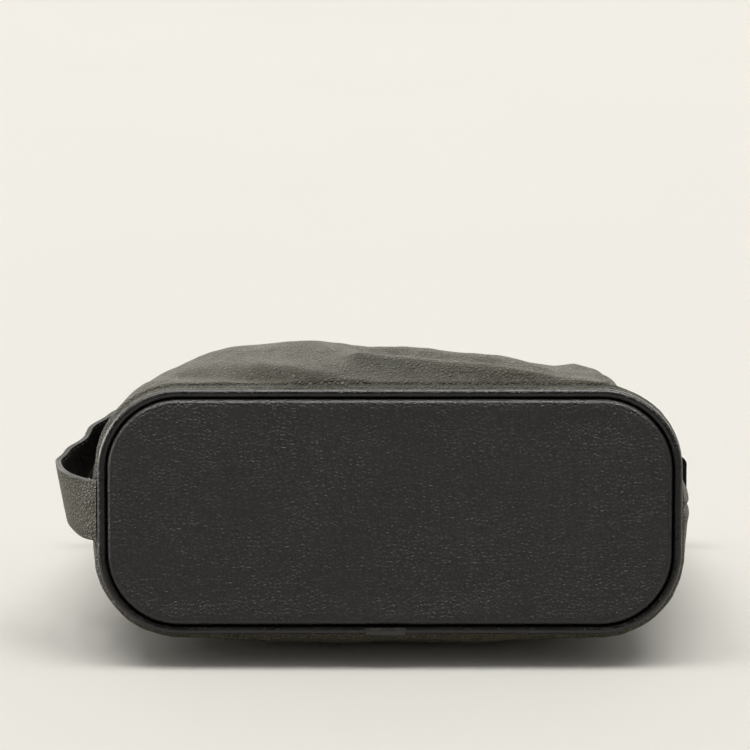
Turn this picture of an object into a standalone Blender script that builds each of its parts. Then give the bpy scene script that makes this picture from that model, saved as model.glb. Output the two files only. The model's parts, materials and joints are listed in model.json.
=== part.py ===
"""Makeup bag: a soft pebbled-leather toiletry bag, lying on its back panel, as separate sewn pieces.

The pieces are laid out in the bag's own upright frame, in millimetres: X runs along the zip, -Y is the
front, +Y is the back, and +Z runs from the base to the zip. One empty, bag_axes, lays that frame down on the back.
"""

import math

import bmesh
import bpy
import numpy as np
from mathutils import Vector

MM = 0.001

# Driving dimensions, in millimetres
BASE_HALF_LENGTH = 135.0
BASE_HALF_DEPTH = 57.0
BASE_CORNER_RADIUS = 38.0
BAG_HEIGHT = 165.0
LEATHER = 1.4
LINING = 0.6
GAP = 0.3
PIPING_RADIUS = 2.2
STRAP_WIDTH = 28.0
ZIP_HALF_LENGTH = 120.0

# How the bag lies: the angle between its height and the floor, and the height of its axis over the floor
LYING_TILT = math.radians(12)
AXIS_HEIGHT = 72.4
PATCH_HEIGHT_ON_BAG = 68.0

# The body's shape, from the base seam to the zip: height, half length, front depth, back depth, roundness.
# Roundness 0 is a rounded rectangle and 1 is an ellipse.
STATIONS = (
    (6.5, 134.2, 56.2, 56.2, 0.0),
    (12.5, 137.0, 60.2, 60.8, 0.07),
    (22.0, 139.5, 65.6, 64.4, 0.25),
    (38.0, 141.5, 70.5, 66.4, 0.50),
    (60.0, 143.0, 73.0, 64.0, 0.70),
    (88.0, 143.0, 68.5, 57.5, 0.85),
    (115.0, 142.0, 56.0, 47.0, 0.85),
    (138.0, 140.5, 38.5, 32.5, 0.60),
    (153.0, 139.3, 24.0, 20.5, 0.30),
    (161.5, 138.4, 13.0, 12.0, 0.10),
    (BAG_HEIGHT, 138.0, 6.4, 6.4, 0.0),
)
ROWS = (0, 0.5, 1, 1.5, 2, 3, 4, 5, 6, 7, 8, 8.5, 9, 9.5, 10)
LINING_ROWS = ROWS[1:12]
MOUTH_ROW = 4
SEAM_STRIP = (0.0, 0.1, 0.2, 0.32, 0.44, 0.56, 0.68, 0.82, 1.0)
FLAP_COLUMNS = 6
SEAM_EDGE = 0.0012
ROW_EDGE = 0.01

# The part of the front that swings as the mouth opens: its half width at the bottom and at the zip
FLAP_HALF_BOTTOM = 50.0
FLAP_HALF_TOP = 84.0

# The base seam: the piping's core sits this far inside the outline and this far above the base's face
PIPING_INSET = 2.2
PIPING_LIFT = 3.9
PIPING_FLANGE_TOP = 10.0
PIPING_CORD_RADIUS = 1.15
CORNER_STEPS = 7

# Zip
ZIP_LEVEL = 163.1
TEETH_INNER = 0.9
TEETH_OUTER = 3.0
TEETH_HEIGHT = 2.4
TOOTH_PITCH = 3.0
TOOTH_NOTCH = 1.0
FLAP_ZIP_HALF = 81.5
FIXED_ZIP_START = 82.1
SLIDER_CENTRE = 112.0
SLIDER_LENGTH = 16.0
SLIDER_HALF_WIDTH = 4.9
PULLER_LEVEL = 169.2
END_TAB_START = 124.0
END_TAB_END = 154.0

# Strap handle on the left side: its swinging line, its swing, and the loop's centreline as X, Z points
STRAP_LINE_X = -147.3
STRAP_SWING = math.radians(10)
STRAP_LEATHER = 1.4
STRAP_ROUTE = (
    (-147.8, 14.6),
    (-152.8, 15.0),
    (-156.2, 21.0),
    (-157.4, 32.0),
    (-156.0, 44.0),
    (-152.8, 56.0),
    (-149.2, 68.0),
    (-146.0, 80.0),
)
STRAP_PATCH_TOP = 107.0

SLOT_COLOURS = {
    "base_leather": ((0.014, 0.012, 0.012), 0.50, 0.0),
    "pebbled_leather": ((0.085, 0.080, 0.060), 0.50, 0.0),
    "smooth_leather": ((0.018, 0.017, 0.016), 0.42, 0.0),
    "lining_fabric": ((0.110, 0.098, 0.088), 0.85, 0.0),
    "zip_tape": ((0.018, 0.018, 0.019), 0.85, 0.0),
    "zip_teeth": ((0.030, 0.030, 0.032), 0.35, 0.0),
    "metal": ((0.62, 0.60, 0.57), 0.28, 1.0),
    "foam": ((0.55, 0.54, 0.52), 0.95, 0.0),
    "board": ((0.35, 0.29, 0.22), 0.90, 0.0),
    "cord": ((0.62, 0.58, 0.50), 0.90, 0.0),
}


def clear_scene():
    for scene_object in list(bpy.data.objects):
        bpy.data.objects.remove(scene_object, do_unlink=True)


def make_materials():
    materials = {}
    for slot, (colour, roughness, metallic) in SLOT_COLOURS.items():
        material = bpy.data.materials.new(slot)
        material.use_nodes = True
        shader = material.node_tree.nodes["Principled BSDF"]
        shader.inputs["Base Color"].default_value = (*colour, 1.0)
        shader.inputs["Roughness"].default_value = roughness
        shader.inputs["Metallic"].default_value = metallic
        materials[slot] = material
    return materials


def make_axes():
    """The empty that lays the bag's frame on its back, with the resting patch's middle at the origin."""
    axes = bpy.data.objects.new("bag_axes", None)
    bpy.context.scene.collection.objects.link(axes)
    back_depth = floor_depth(PATCH_HEIGHT_ON_BAG)
    along = math.cos(LYING_TILT) * PATCH_HEIGHT_ON_BAG - math.sin(LYING_TILT) * back_depth
    axes.location = (0, -along * MM, AXIS_HEIGHT * MM)
    axes.rotation_euler = (-(math.pi / 2 + LYING_TILT), 0, 0)
    return axes


def floor_depth(height):
    """How far behind the bag's axis the floor is, at a height on the bag."""
    return (AXIS_HEIGHT - math.sin(LYING_TILT) * height) / math.cos(LYING_TILT)


class Maker:
    """Turns points and faces in the bag's frame into named, shaded objects under bag_axes."""

    def __init__(self, materials, axes):
        self.materials = materials
        self.axes = axes

    def add(self, name, points, faces, slot, pivot=(0, 0, 0), smooth=True):
        mesh = bpy.data.meshes.new(name)
        origin = Vector(pivot)
        mesh.from_pydata([(Vector(point) - origin) * MM for point in points], [], faces)
        body = bmesh.new()
        body.from_mesh(mesh)
        loose = [vertex for vertex in body.verts if not vertex.link_faces]
        bmesh.ops.delete(body, geom=loose, context="VERTS")
        bmesh.ops.recalc_face_normals(body, faces=body.faces)
        body.to_mesh(mesh)
        body.free()
        if smooth:
            mesh.shade_smooth()
            mesh.set_sharp_from_angle(angle=math.radians(35))
        mesh.materials.append(self.materials[slot])
        piece = bpy.data.objects.new(name, mesh)
        piece.parent = self.axes
        piece.location = origin * MM
        bpy.context.scene.collection.objects.link(piece)
        return piece

    def extrude(self, name, outline, start, end, axis, slot, pivot=(0, 0, 0)):
        """A prism: outline holds the two coordinates across the axis, in X, Y, Z order."""
        points = [prism_point(pair, level, axis) for level in (start, end) for pair in outline]
        count = len(outline)
        faces = [tuple(range(count)), tuple(range(2 * count - 1, count - 1, -1))]
        for i in range(count):
            after = (i + 1) % count
            faces.append((i, after, after + count, i + count))
        return self.add(name, points, faces, slot, pivot, smooth=False)


def prism_point(pair, level, axis):
    first, second = pair
    return {"X": (level, first, second), "Y": (first, level, second), "Z": (first, second, level)}[axis]


def profile(row):
    """The station values at a row, on a smooth curve through the stations."""
    table = np.array(STATIONS)
    last = len(table) - 1
    low = min(int(row), last - 1)
    t = row - low
    before, after = max(low - 1, 0), min(low + 2, last)
    start_slope = (table[low + 1] - table[before]) / (low + 1 - before)
    end_slope = (table[after] - table[low]) / (after - low)
    return (
        (2 * t**3 - 3 * t**2 + 1) * table[low]
        + (t**3 - 2 * t**2 + t) * start_slope
        + (3 * t**2 - 2 * t**3) * table[low + 1]
        + (t**3 - t**2) * end_slope
    )


def rounded_quarter(half_length, depth, share):
    """A quarter of a rounded rectangle by arc length: share is 0 at the side seam and 1 at the middle."""
    radius = min(BASE_CORNER_RADIUS, depth)
    side = depth - radius
    arc = math.pi * radius / 2
    travelled = share * (side + arc + half_length - radius)
    if travelled < side:
        return half_length, travelled
    if travelled < side + arc:
        angle = (travelled - side) / radius
        return half_length - radius + radius * math.cos(angle), side + radius * math.sin(angle)
    return half_length - radius - (travelled - side - arc), depth


def ellipse_quarter(half_length, depth, share):
    """A quarter of an ellipse by arc length, in the same sense as rounded_quarter."""
    angles = np.linspace(0, math.pi / 2, 65)
    x, y = half_length * np.cos(angles), depth * np.sin(angles)
    travelled = np.concatenate(([0], np.cumsum(np.hypot(np.diff(x), np.diff(y)))))
    angle = np.interp(share * travelled[-1], travelled, angles)
    return half_length * math.cos(angle), depth * math.sin(angle)


def skin_point(side, across, row):
    """A point on the body's outer face: side -1 is the front and 1 the back, across runs -1 to 1 by seams."""
    height, half_length, front, back, roundness = profile(row)
    depth = front if side < 0 else back
    share = 1 - abs(across)
    boxy = rounded_quarter(half_length, depth, share)
    oval = ellipse_quarter(half_length, depth, share)
    x = boxy[0] + (oval[0] - boxy[0]) * roundness
    y = boxy[1] + (oval[1] - boxy[1]) * roundness
    if side > 0:
        y = min(y, floor_depth(height))
    return Vector((math.copysign(x, across), side * y, height))


def inner_point(side, across, row, inset):
    """The point that lies inset below skin_point, along the skin's normal."""
    step = 0.002
    last = len(STATIONS) - 1
    along = skin_point(side, min(across + step, 1), row) - skin_point(side, max(across - step, -1), row)
    up = skin_point(side, across, min(row + step, last)) - skin_point(side, across, max(row - step, 0))
    normal = along.cross(up).normalized() * -side
    return skin_point(side, across, row) - normal * inset


def flap_edge(side, row):
    """Where the flap's edge crosses a row, as the across value whose X is the flap's half width there."""
    height = max(profile(row)[0], profile(MOUTH_ROW)[0])
    rise = (height - profile(MOUTH_ROW)[0]) / (BAG_HEIGHT - profile(MOUTH_ROW)[0])
    half_width = FLAP_HALF_BOTTOM + rise * (FLAP_HALF_TOP - FLAP_HALF_BOTTOM)
    low, high = 0.0, 1.0
    for _ in range(30):
        middle = (low + high) / 2
        if skin_point(side, middle, row).x < half_width:
            low = middle
        else:
            high = middle
    return low


def columns(side, row, edge_shift=0.0):
    """The across values of one row: a strip by each seam and the flap's columns between them."""
    edge = flap_edge(side, row) + edge_shift
    outer = 1 - SEAM_EDGE
    strip = [outer + (edge - outer) * share for share in SEAM_STRIP]
    middle = [edge - 2 * edge * i / FLAP_COLUMNS for i in range(1, FLAP_COLUMNS)]
    return [-value for value in strip] + [-value for value in middle] + strip[::-1]


def lattice(side, rows, inset, edge_shift=0.0):
    """Rows of points on the body, inset below its outer face."""
    return [
        [inner_point(side, across, row, inset) for across in columns(side, row, edge_shift)]
        for row in rows
    ]


def lattice_part(grid, first, last):
    return [row[first : last + 1] for row in grid]


def shell_faces(row_count, column_count, used):
    """Triangles of a closed sheet: outer face, inner face, and a rim where a cell has no neighbour."""
    inner = row_count * column_count

    def corner(i, j):
        return i * column_count + j

    cells = {(i, j) for i in range(row_count - 1) for j in range(column_count - 1) if used(i, j)}
    faces = []
    for i, j in sorted(cells):
        a, b, c, d = corner(i, j), corner(i, j + 1), corner(i + 1, j + 1), corner(i + 1, j)
        faces += [(a, b, c), (a, c, d), (a + inner, c + inner, b + inner), (a + inner, d + inner, c + inner)]
        sides = (((i - 1, j), a, b), ((i, j + 1), b, c), ((i + 1, j), c, d), ((i, j - 1), d, a))
        faces += [(q, p, p + inner, q + inner) for beyond, p, q in sides if beyond not in cells]
    return faces


def add_sheet(maker, name, outer, inner, slot, used=lambda i, j: True, pivot=(0, 0, 0)):
    points = [point for row in outer + inner for point in row]
    return maker.add(name, points, shell_faces(len(outer), len(outer[0]), used), slot, pivot)


def strip_columns():
    """The first and the last lattice column of the flap."""
    first = len(SEAM_STRIP) - 1
    return first, first + FLAP_COLUMNS


def below_flap(rows):
    """Cells of the front that stay put: all but the flap's."""
    first, last = strip_columns()
    mouth = rows.index(MOUTH_ROW)
    return lambda i, j: i < mouth or j < first or j >= last


def mouth_pivot():
    return (0, skin_point(-1, 0, MOUTH_ROW).y, profile(MOUTH_ROW)[0])


def add_body_layer(maker, names, rows, inset, thickness, slot):
    """One layer of the body, leather or lining: the back, the front's fixed part and the front's flap."""
    back_name, lower_name, flap_name = names
    outer, inner = (lattice(1, rows, depth) for depth in (inset, inset + thickness))
    add_sheet(maker, back_name, outer, inner, slot)
    fixed_rows = [row - ROW_EDGE if row == MOUTH_ROW else row for row in rows]
    outer, inner = (lattice(-1, fixed_rows, depth, SEAM_EDGE) for depth in (inset, inset + thickness))
    add_sheet(maker, lower_name, outer, inner, slot, below_flap(rows))
    flap_rows = [row + ROW_EDGE if row == MOUTH_ROW else row for row in rows if row >= MOUTH_ROW]
    first, last = strip_columns()
    outer, inner = (
        lattice_part(lattice(-1, flap_rows, depth, -SEAM_EDGE), first, last)
        for depth in (inset, inset + thickness)
    )
    add_sheet(maker, flap_name, outer, inner, slot, pivot=mouth_pivot())


def add_seam_bindings(maker):
    """The bound seam allowances inside the two side seams."""
    inset, thickness = LEATHER + LINING + 2 * GAP, 0.8
    rows = [row for row in LINING_ROWS if row <= 8]
    for name, sign in (("left_seam_binding", -1), ("right_seam_binding", 1)):
        layers = []
        for depth in (inset, inset + thickness):
            grid = []
            for row in rows:
                back_across, front_across = columns(1, row)[-2], columns(-1, row)[-2]
                line = [(1, sign * back_across), (1, sign * 1.0), (-1, sign * front_across)]
                grid.append([inner_point(side, across, row, depth) for side, across in line])
            layers.append(grid)
        add_sheet(maker, name, *layers, "lining_fabric")


def add_pocket(maker):
    """A slip pocket sewn on the inside of the back lining, with a leather-bound top edge."""
    inset, thickness = LEATHER + LINING + 2 * GAP, 0.6
    rows = (2, 3, 4, 5, 6)
    first, last = strip_columns()
    first, last = first - 2, last + 2
    depths = (inset, inset + thickness)
    layers = [lattice_part(lattice(1, rows, depth), first, last) for depth in depths]
    add_sheet(maker, "inner_pocket", *layers, "lining_fabric")
    rows = (6 + 2 * ROW_EDGE, 6.3)
    raised = inset + 1.2
    depths = (raised, raised + 2 * thickness)
    layers = [lattice_part(lattice(1, rows, depth), first, last) for depth in depths]
    add_sheet(maker, "inner_pocket_binding", *layers, "smooth_leather")


def base_outline(inset):
    """The base's outline, a rounded rectangle, moved inwards by inset."""
    radius = BASE_CORNER_RADIUS - inset
    centre_x, centre_y = BASE_HALF_LENGTH - BASE_CORNER_RADIUS, BASE_HALF_DEPTH - BASE_CORNER_RADIUS
    outline = []
    for corner, (sign_x, sign_y) in enumerate(((1, 1), (-1, 1), (-1, -1), (1, -1))):
        for step in range(CORNER_STEPS + 1):
            angle = math.pi / 2 * (corner + step / CORNER_STEPS)
            x = sign_x * centre_x + radius * math.cos(angle)
            y = sign_y * centre_y + radius * math.sin(angle)
            outline.append((x, y))
    return outline


def base_rings(section):
    """The section's inset and height points, each carried round the base's outline."""
    return [(x, y, height) for inset, height in section for x, y in base_outline(inset)]


def ring_faces(ring_count, around, closed):
    faces = []
    for i in range(ring_count if closed else ring_count - 1):
        j = (i + 1) % ring_count
        for k in range(around):
            after = (k + 1) % around
            faces.append((i * around + k, i * around + after, j * around + after, j * around + k))
    return faces


def add_base_ring(maker, name, section, slot):
    """A closed ring round the base, such as piping."""
    around = len(base_outline(0))
    maker.add(name, base_rings(section), ring_faces(len(section), around, True), slot)


def add_base_plate(maker, name, section, slot):
    """A plate or dish with the base's outline: section runs from its lower middle to its top."""
    around = len(base_outline(0))
    faces = ring_faces(len(section), around, False)
    top = (len(section) - 1) * around
    faces += [tuple(range(around)), tuple(range(top + around - 1, top - 1, -1))]
    maker.add(name, base_rings(section), faces, slot)


def circle_points(radius, angles, centre):
    turns = [math.radians(angle) for angle in angles]
    return [(centre[0] + radius * math.cos(turn), centre[1] + radius * math.sin(turn)) for turn in turns]


def add_piping(maker):
    """The piping round the base: leather folded round a cord, with its flange turned up into the seam."""
    centre = (PIPING_INSET, PIPING_LIFT)
    flange_in, flange_out = 3.9, 4.7
    leather = 0.6
    outer = circle_points(PIPING_RADIUS, (40, 80, 120, 160, 200, 240, 280, 320), centre)
    inner = circle_points(PIPING_RADIUS - leather, (320, 270, 220, 170, 120, 75, 40), centre)
    flange = [(flange_out, inner[-1][1] + 0.15)]
    flange += [(flange_out, PIPING_FLANGE_TOP), (flange_in, PIPING_FLANGE_TOP)]
    add_base_ring(maker, "piping_leather", flange + outer + inner, "smooth_leather")
    cord = circle_points(PIPING_CORD_RADIUS, range(0, 360, 60), centre)
    add_base_ring(maker, "piping_cord", cord, "cord")


def add_piping_joint_cover(maker):
    """The short leather sleeve over the piping's joint, at the middle of the back."""
    start_x, end_x = -11.5, 7.5
    inner_radius, outer_radius = PIPING_RADIUS + GAP, PIPING_RADIUS + 1.2
    angles = (130, 165, 200, 235, 270, 290)
    centre = (PIPING_INSET, PIPING_LIFT)
    section = circle_points(outer_radius, angles, centre) + circle_points(inner_radius, angles[::-1], centre)
    outline = [(BASE_HALF_DEPTH - inset, height) for inset, height in section]
    maker.extrude("piping_joint_cover", outline, start_x, end_x, "X", "smooth_leather")


def add_base(maker):
    """The base: a leather dish whose rolled edge turns up into the seam, its foam, board and lining."""
    dish = (
        (11.5, 0.0), (8.4, 0.3), (6.4, 1.3), (5.2, 3.0), (5.0, 7.0),
        (6.4, 7.0), (6.6, 3.6), (7.6, 2.2), (9.4, 1.6), (12.0, 1.4),
    )  # fmt: skip
    add_base_plate(maker, "base_panel", dish, "base_leather")
    add_base_plate(maker, "base_padding", ((12.2, 1.7), (9.6, 2.0), (7.6, 4.4), (12.2, 4.4)), "foam")
    add_base_plate(maker, "base_board", ((7.0, 4.7), (7.0, 6.7)), "board")
    add_base_plate(maker, "base_lining", ((5.1, 7.3), (5.1, 7.9)), "lining_fabric")


def add_zip_tape(maker, name, side, start_x, end_x, pivot=(0, 0, 0)):
    """One stretch of zip tape, its outer edge under the leather."""
    top = ((3.3, ZIP_LEVEL + 0.3), (5.3, ZIP_LEVEL), (10.2, ZIP_LEVEL - 3.3))
    bottom = ((9.9, ZIP_LEVEL - 3.9), (5.2, ZIP_LEVEL - 0.6), (3.3, ZIP_LEVEL - 0.3))
    outline = [(side * y, z) for y, z in top + bottom]
    maker.extrude(name, outline, start_x, end_x, "X", "zip_tape", pivot)


def add_zip_teeth(maker, name, side, start_x, end_x, pivot=(0, 0, 0)):
    """One stretch of zip teeth: a comb whose teeth face the middle of the zip."""
    count = round((end_x - start_x) / TOOTH_PITCH)
    pitch = (end_x - start_x) / count
    comb = [(end_x, side * TEETH_OUTER), (start_x, side * TEETH_OUTER)]
    for i in range(count):
        left = start_x + i * pitch
        comb += [(left, side * TEETH_INNER), (left + pitch * 0.6, side * TEETH_INNER)]
        notch = side * (TEETH_INNER + TOOTH_NOTCH)
        comb += [(left + pitch * 0.6, notch), (left + pitch, notch)] if i < count - 1 else []
    comb += [(end_x, side * TEETH_INNER)] if comb[-1][0] < end_x else []
    low, high = ZIP_LEVEL - TEETH_HEIGHT / 2, ZIP_LEVEL + TEETH_HEIGHT / 2
    maker.extrude(name, comb, low, high, "Z", "zip_teeth", pivot)


def add_zip(maker):
    """The zip: the back half and the ends of the front half stay put, and the flap carries the rest."""
    full = (-ZIP_HALF_LENGTH, ZIP_HALF_LENGTH)
    flap = (-FLAP_ZIP_HALF, FLAP_ZIP_HALF)
    left, right = (-ZIP_HALF_LENGTH, -FIXED_ZIP_START), (FIXED_ZIP_START, ZIP_HALF_LENGTH)
    for kind, add in (("zip_tape", add_zip_tape), ("zip_teeth", add_zip_teeth)):
        add(maker, f"{kind}_back", 1, *full)
        add(maker, f"{kind}_front", -1, *flap, pivot=mouth_pivot())
        add(maker, f"{kind}_front_left_end", -1, *left)
        add(maker, f"{kind}_front_right_end", -1, *right)
    stop_length, stop_half = 2.2, 2.4
    for name, sign in (("zip_stop_left", -1), ("zip_stop_right", 1)):
        near = ZIP_HALF_LENGTH + 0.5
        stop = [(-stop_half, ZIP_LEVEL - 1.0), (stop_half, ZIP_LEVEL - 1.0)]
        stop += [(stop_half, ZIP_LEVEL + 1.2), (-stop_half, ZIP_LEVEL + 1.2)]
        maker.extrude(name, stop, sign * near, sign * (near + stop_length), "X", "metal")


def add_slider(maker):
    """The slider: two plates joined by a post between the teeth, and a bridge on top for the puller."""
    half, post = SLIDER_HALF_WIDTH, 0.6
    plate, clearance = 1.3, TEETH_HEIGHT / 2 + 0.4
    low, high = ZIP_LEVEL - clearance, ZIP_LEVEL + clearance
    section = [
        (-half, low - plate), (half, low - plate), (half, low), (post, low), (post, high), (half, high),
        (half, high + plate), (-half, high + plate), (-half, high), (-post, high), (-post, low), (-half, low),
    ]  # fmt: skip
    start, end = SLIDER_CENTRE - SLIDER_LENGTH / 2, SLIDER_CENTRE + SLIDER_LENGTH / 2
    pivot = (SLIDER_CENTRE, 0, ZIP_LEVEL)
    slider = maker.extrude("zip_slider", section, start, end, "X", "metal", pivot)
    seat = high + plate
    reach, wall, half_bridge = 5.2, 1.3, 1.2
    top = PULLER_LEVEL + 2.0
    centre = SLIDER_CENTRE
    arch = [
        (centre - reach, seat - 0.5), (centre - reach, top - 1), (centre - reach + 1.4, top + 0.8),
        (centre + reach - 1.4, top + 0.8), (centre + reach, top - 1), (centre + reach, seat - 0.5),
        (centre + reach - wall, seat - 0.5), (centre + reach - wall, top - 1.2),
        (centre + reach - 2.2, top - 0.6), (centre - reach + 2.2, top - 0.6),
        (centre - reach + wall, top - 1.2), (centre - reach + wall, seat - 0.5),
    ]  # fmt: skip
    bridge = maker.extrude("slider_bridge_shape", arch, -half_bridge, half_bridge, "Y", "metal", pivot)
    bridge.hide_render = True
    bridge.display_type = "WIRE"
    join = slider.modifiers.new("bridge", "BOOLEAN")
    join.operation = "UNION"
    join.solver = "EXACT"
    join.object = bridge


def add_puller(maker):
    """The puller: a metal frame that swings on the slider's bridge, and the leather tab that it carries."""
    pivot = (SLIDER_CENTRE, 0, PULLER_LEVEL)
    half_thick, half_width = 0.8, 4.2
    start, end = SLIDER_CENTRE + 0.9, SLIDER_CENTRE - 11.0
    window_half, bar = 2.3, 1.8
    far_bar = end + bar
    outer = [(start, half_width), (end, half_width), (end, -half_width), (start, -half_width)]
    near_bar = start - bar
    hole = [(near_bar, window_half), (far_bar, window_half)]
    hole += [(far_bar, -window_half), (near_bar, -window_half)]
    points = [(x, y, PULLER_LEVEL + z) for z in (-half_thick, half_thick) for x, y in outer + hole]
    faces = []
    for i in range(4):
        j = (i + 1) % 4
        faces += [(i, j, j + 4, i + 4), (i + 8, i + 12, j + 12, j + 8)]
        faces += [(i, i + 8, j + 8, j), (i + 4, j + 4, j + 12, i + 12)]
    maker.add("puller_frame", points, faces, "metal", pivot, smooth=False)
    near, far, half_tab, tab_half_thick, corner = end - GAP, end - 26.0, 5.5, 1.0, 3.0
    tab = [(near, half_tab), (far + corner, half_tab), (far, half_tab - corner)]
    tab += [(x, -y) for x, y in reversed(tab)]
    low, high = PULLER_LEVEL - tab_half_thick, PULLER_LEVEL + tab_half_thick
    maker.extrude("puller_tab", tab, low, high, "Z", "smooth_leather", pivot)


def add_end_tabs(maker):
    """The leather tabs folded over the two ends of the zip."""
    half, corner = 10.0, 5.0
    low, high = BAG_HEIGHT + 0.4, BAG_HEIGHT + 2.8
    arc = [(END_TAB_END - corner + corner * math.cos(a), half - corner + corner * math.sin(a))
           for a in (math.pi / 2 * step / 3 for step in range(4))]  # fmt: skip
    outline = arc + [(END_TAB_START, half), (END_TAB_START, -half)] + [(x, -y) for x, y in reversed(arc)]
    for name, sign in (("zip_end_tab_left", -1), ("zip_end_tab_right", 1)):
        maker.extrude(name, [(sign * x, y) for x, y in outline], low, high, "Z", "smooth_leather")


def route_point(position):
    """A point of the strap's centreline: position counts along STRAP_ROUTE."""
    route = np.array(STRAP_ROUTE)
    last = len(route) - 1
    low = min(int(position), last - 1)
    t = position - low
    before, after = max(low - 1, 0), min(low + 2, last)
    start_slope = (route[low + 1] - route[before]) / (low + 1 - before)
    end_slope = (route[after] - route[low]) / (after - low)
    return (
        (2 * t**3 - 3 * t**2 + 1) * route[low]
        + (t**3 - 2 * t**2 + t) * start_slope
        + (3 * t**2 - 2 * t**3) * route[low + 1]
        + (t**3 - t**2) * end_slope
    )


def add_strap_loop(maker):
    """The strap's loop in two layers: the outer leather and the leather that lines it."""
    steps = 2 * (len(STRAP_ROUTE) - 1)
    positions = [i / 2 for i in range(steps + 1)]
    pivot = (STRAP_LINE_X, 0, STRAP_ROUTE[0][1])
    half_gap = GAP / 2
    layers = (
        ("strap_outer", "pebbled_leather", half_gap + STRAP_LEATHER, half_gap),
        ("strap_lining", "smooth_leather", -half_gap, -half_gap - STRAP_LEATHER),
    )
    for name, slot, outside, inside in layers:
        grids = []
        for offset in (outside, inside):
            grid = []
            for position in positions:
                here = route_point(position)
                ahead = route_point(min(position + 0.01, steps / 2)) - route_point(max(position - 0.01, 0))
                normal = np.array((-ahead[1], ahead[0])) / np.hypot(*ahead)
                x, z = here + normal * offset
                grid.append([Vector((x, y, z)) for y in (-STRAP_WIDTH / 2, 0, STRAP_WIDTH / 2)])
            grids.append(grid)
        add_sheet(maker, name, *grids, slot, pivot=pivot)


def side_reach(height):
    """How far out the body's side seam is at a height."""
    rows = np.linspace(0, len(STATIONS) - 1, 201)
    row = float(np.interp(height, [profile(row)[0] for row in rows], rows))
    return profile(row)[1]


def add_strap_anchors(maker):
    """The strap's sewn ends. The lower one comes out of the base seam and tapers to the line that the loop
    swings on, so that the loop stays clear of it. The upper one is sewn flat along the side seam."""
    half = STRAP_WIDTH / 2
    tip = STRAP_LINE_X + 0.3
    shoulder = tip + half * math.tan(STRAP_SWING)
    thickness = GAP + 2 * STRAP_LEATHER
    height = STRAP_ROUTE[0][1]
    wall = -side_reach(height) - 2 * GAP
    outline = [(wall, -half), (shoulder, -half), (tip, 0), (shoulder, half), (wall, half)]
    low, high = height - thickness / 2, height + thickness / 2
    maker.extrude("strap_lower_anchor", outline, low, high, "Z", "pebbled_leather")
    heights = np.linspace(STRAP_ROUTE[-1][1] + 0.9, STRAP_PATCH_TOP, 5)
    layers = [
        [[Vector((-side_reach(z) - stand_off, y, z)) for y in (-half, 0, half)] for z in heights]
        for stand_off in (2 * GAP + thickness, 2 * GAP)
    ]
    add_sheet(maker, "strap_upper_anchor", *layers, "pebbled_leather")


def build():
    clear_scene()
    maker = Maker(make_materials(), make_axes())
    panel_names = ("back_panel", "front_panel_lower", "front_panel_upper")
    add_body_layer(maker, panel_names, ROWS, 0.0, LEATHER, "pebbled_leather")
    lining_names = ("lining_back", "lining_front_lower", "lining_front_upper")
    add_body_layer(maker, lining_names, LINING_ROWS, LEATHER + GAP, LINING, "lining_fabric")
    add_seam_bindings(maker)
    add_pocket(maker)
    add_piping(maker)
    add_piping_joint_cover(maker)
    add_base(maker)
    add_zip(maker)
    add_slider(maker)
    add_puller(maker)
    add_end_tabs(maker)
    add_strap_loop(maker)
    add_strap_anchors(maker)


build()
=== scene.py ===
"""Looks of the makeup bag: pebbled leather body, piped base, strap handle, zip and lining, on a pale floor.

Shapes are laid out in the bag's own upright frame, in millimetres: X runs along the zip, -Y is the front, +Y
is the back, and +Z runs from the base to the zip. to_row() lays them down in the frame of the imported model.
"""

import json
import math

import bpy
import numpy as np
from mathutils import Matrix, Vector, noise


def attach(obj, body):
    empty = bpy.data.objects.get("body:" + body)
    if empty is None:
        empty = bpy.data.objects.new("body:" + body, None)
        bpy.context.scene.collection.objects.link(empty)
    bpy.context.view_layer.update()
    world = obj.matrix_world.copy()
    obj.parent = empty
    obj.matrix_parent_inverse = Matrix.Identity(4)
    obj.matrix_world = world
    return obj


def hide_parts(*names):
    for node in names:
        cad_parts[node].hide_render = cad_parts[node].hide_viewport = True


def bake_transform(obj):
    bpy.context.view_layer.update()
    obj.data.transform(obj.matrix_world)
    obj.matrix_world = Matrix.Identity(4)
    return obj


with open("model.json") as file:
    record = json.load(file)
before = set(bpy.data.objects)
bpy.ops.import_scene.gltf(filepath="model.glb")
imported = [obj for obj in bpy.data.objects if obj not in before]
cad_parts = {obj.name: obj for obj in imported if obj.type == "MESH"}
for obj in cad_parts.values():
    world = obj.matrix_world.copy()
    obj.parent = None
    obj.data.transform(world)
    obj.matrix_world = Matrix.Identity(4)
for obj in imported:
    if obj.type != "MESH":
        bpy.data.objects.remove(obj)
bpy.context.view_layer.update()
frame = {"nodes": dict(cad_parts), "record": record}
MM = 0.001

# Light: the world's strength in front of the bag and behind it, and the suns above, tilted sideways
WORLD_FRONT = 0.13
WORLD_BACK = 0.56
WORLD_WARM = (1.0, 0.985, 0.95, 1.0)
TOP_LIGHT = 0.41
TOP_LIGHT_SPREAD = 18
TOP_LIGHT_TILTS = (-25, -12, 0, 12, 25)
WARM = (1.0, 0.985, 0.955)

# Light panels that show only as gloss: name, place and size in metres, watts, colour
CARDS = (
    ("back_card", (0.3, 2.2, 1.0), (4.4, 1.6), 50.0, (1.0, 0.975, 0.87)),
    ("left_card", (-2.2, 0.7, 0.45), (1.6, 1.4), 64.0, (1.0, 0.975, 0.90)),
    ("top_card", (0.0, -0.35, 1.6), (3.2, 0.4), 42.0, WARM),
    ("front_card", (0.0, -2.2, 0.35), (5.0, 0.7), 1.0, (1.0, 0.88, 0.88)),
)

# The material built for each finish; the record has no slot for thread
MATERIALS = {}

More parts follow.
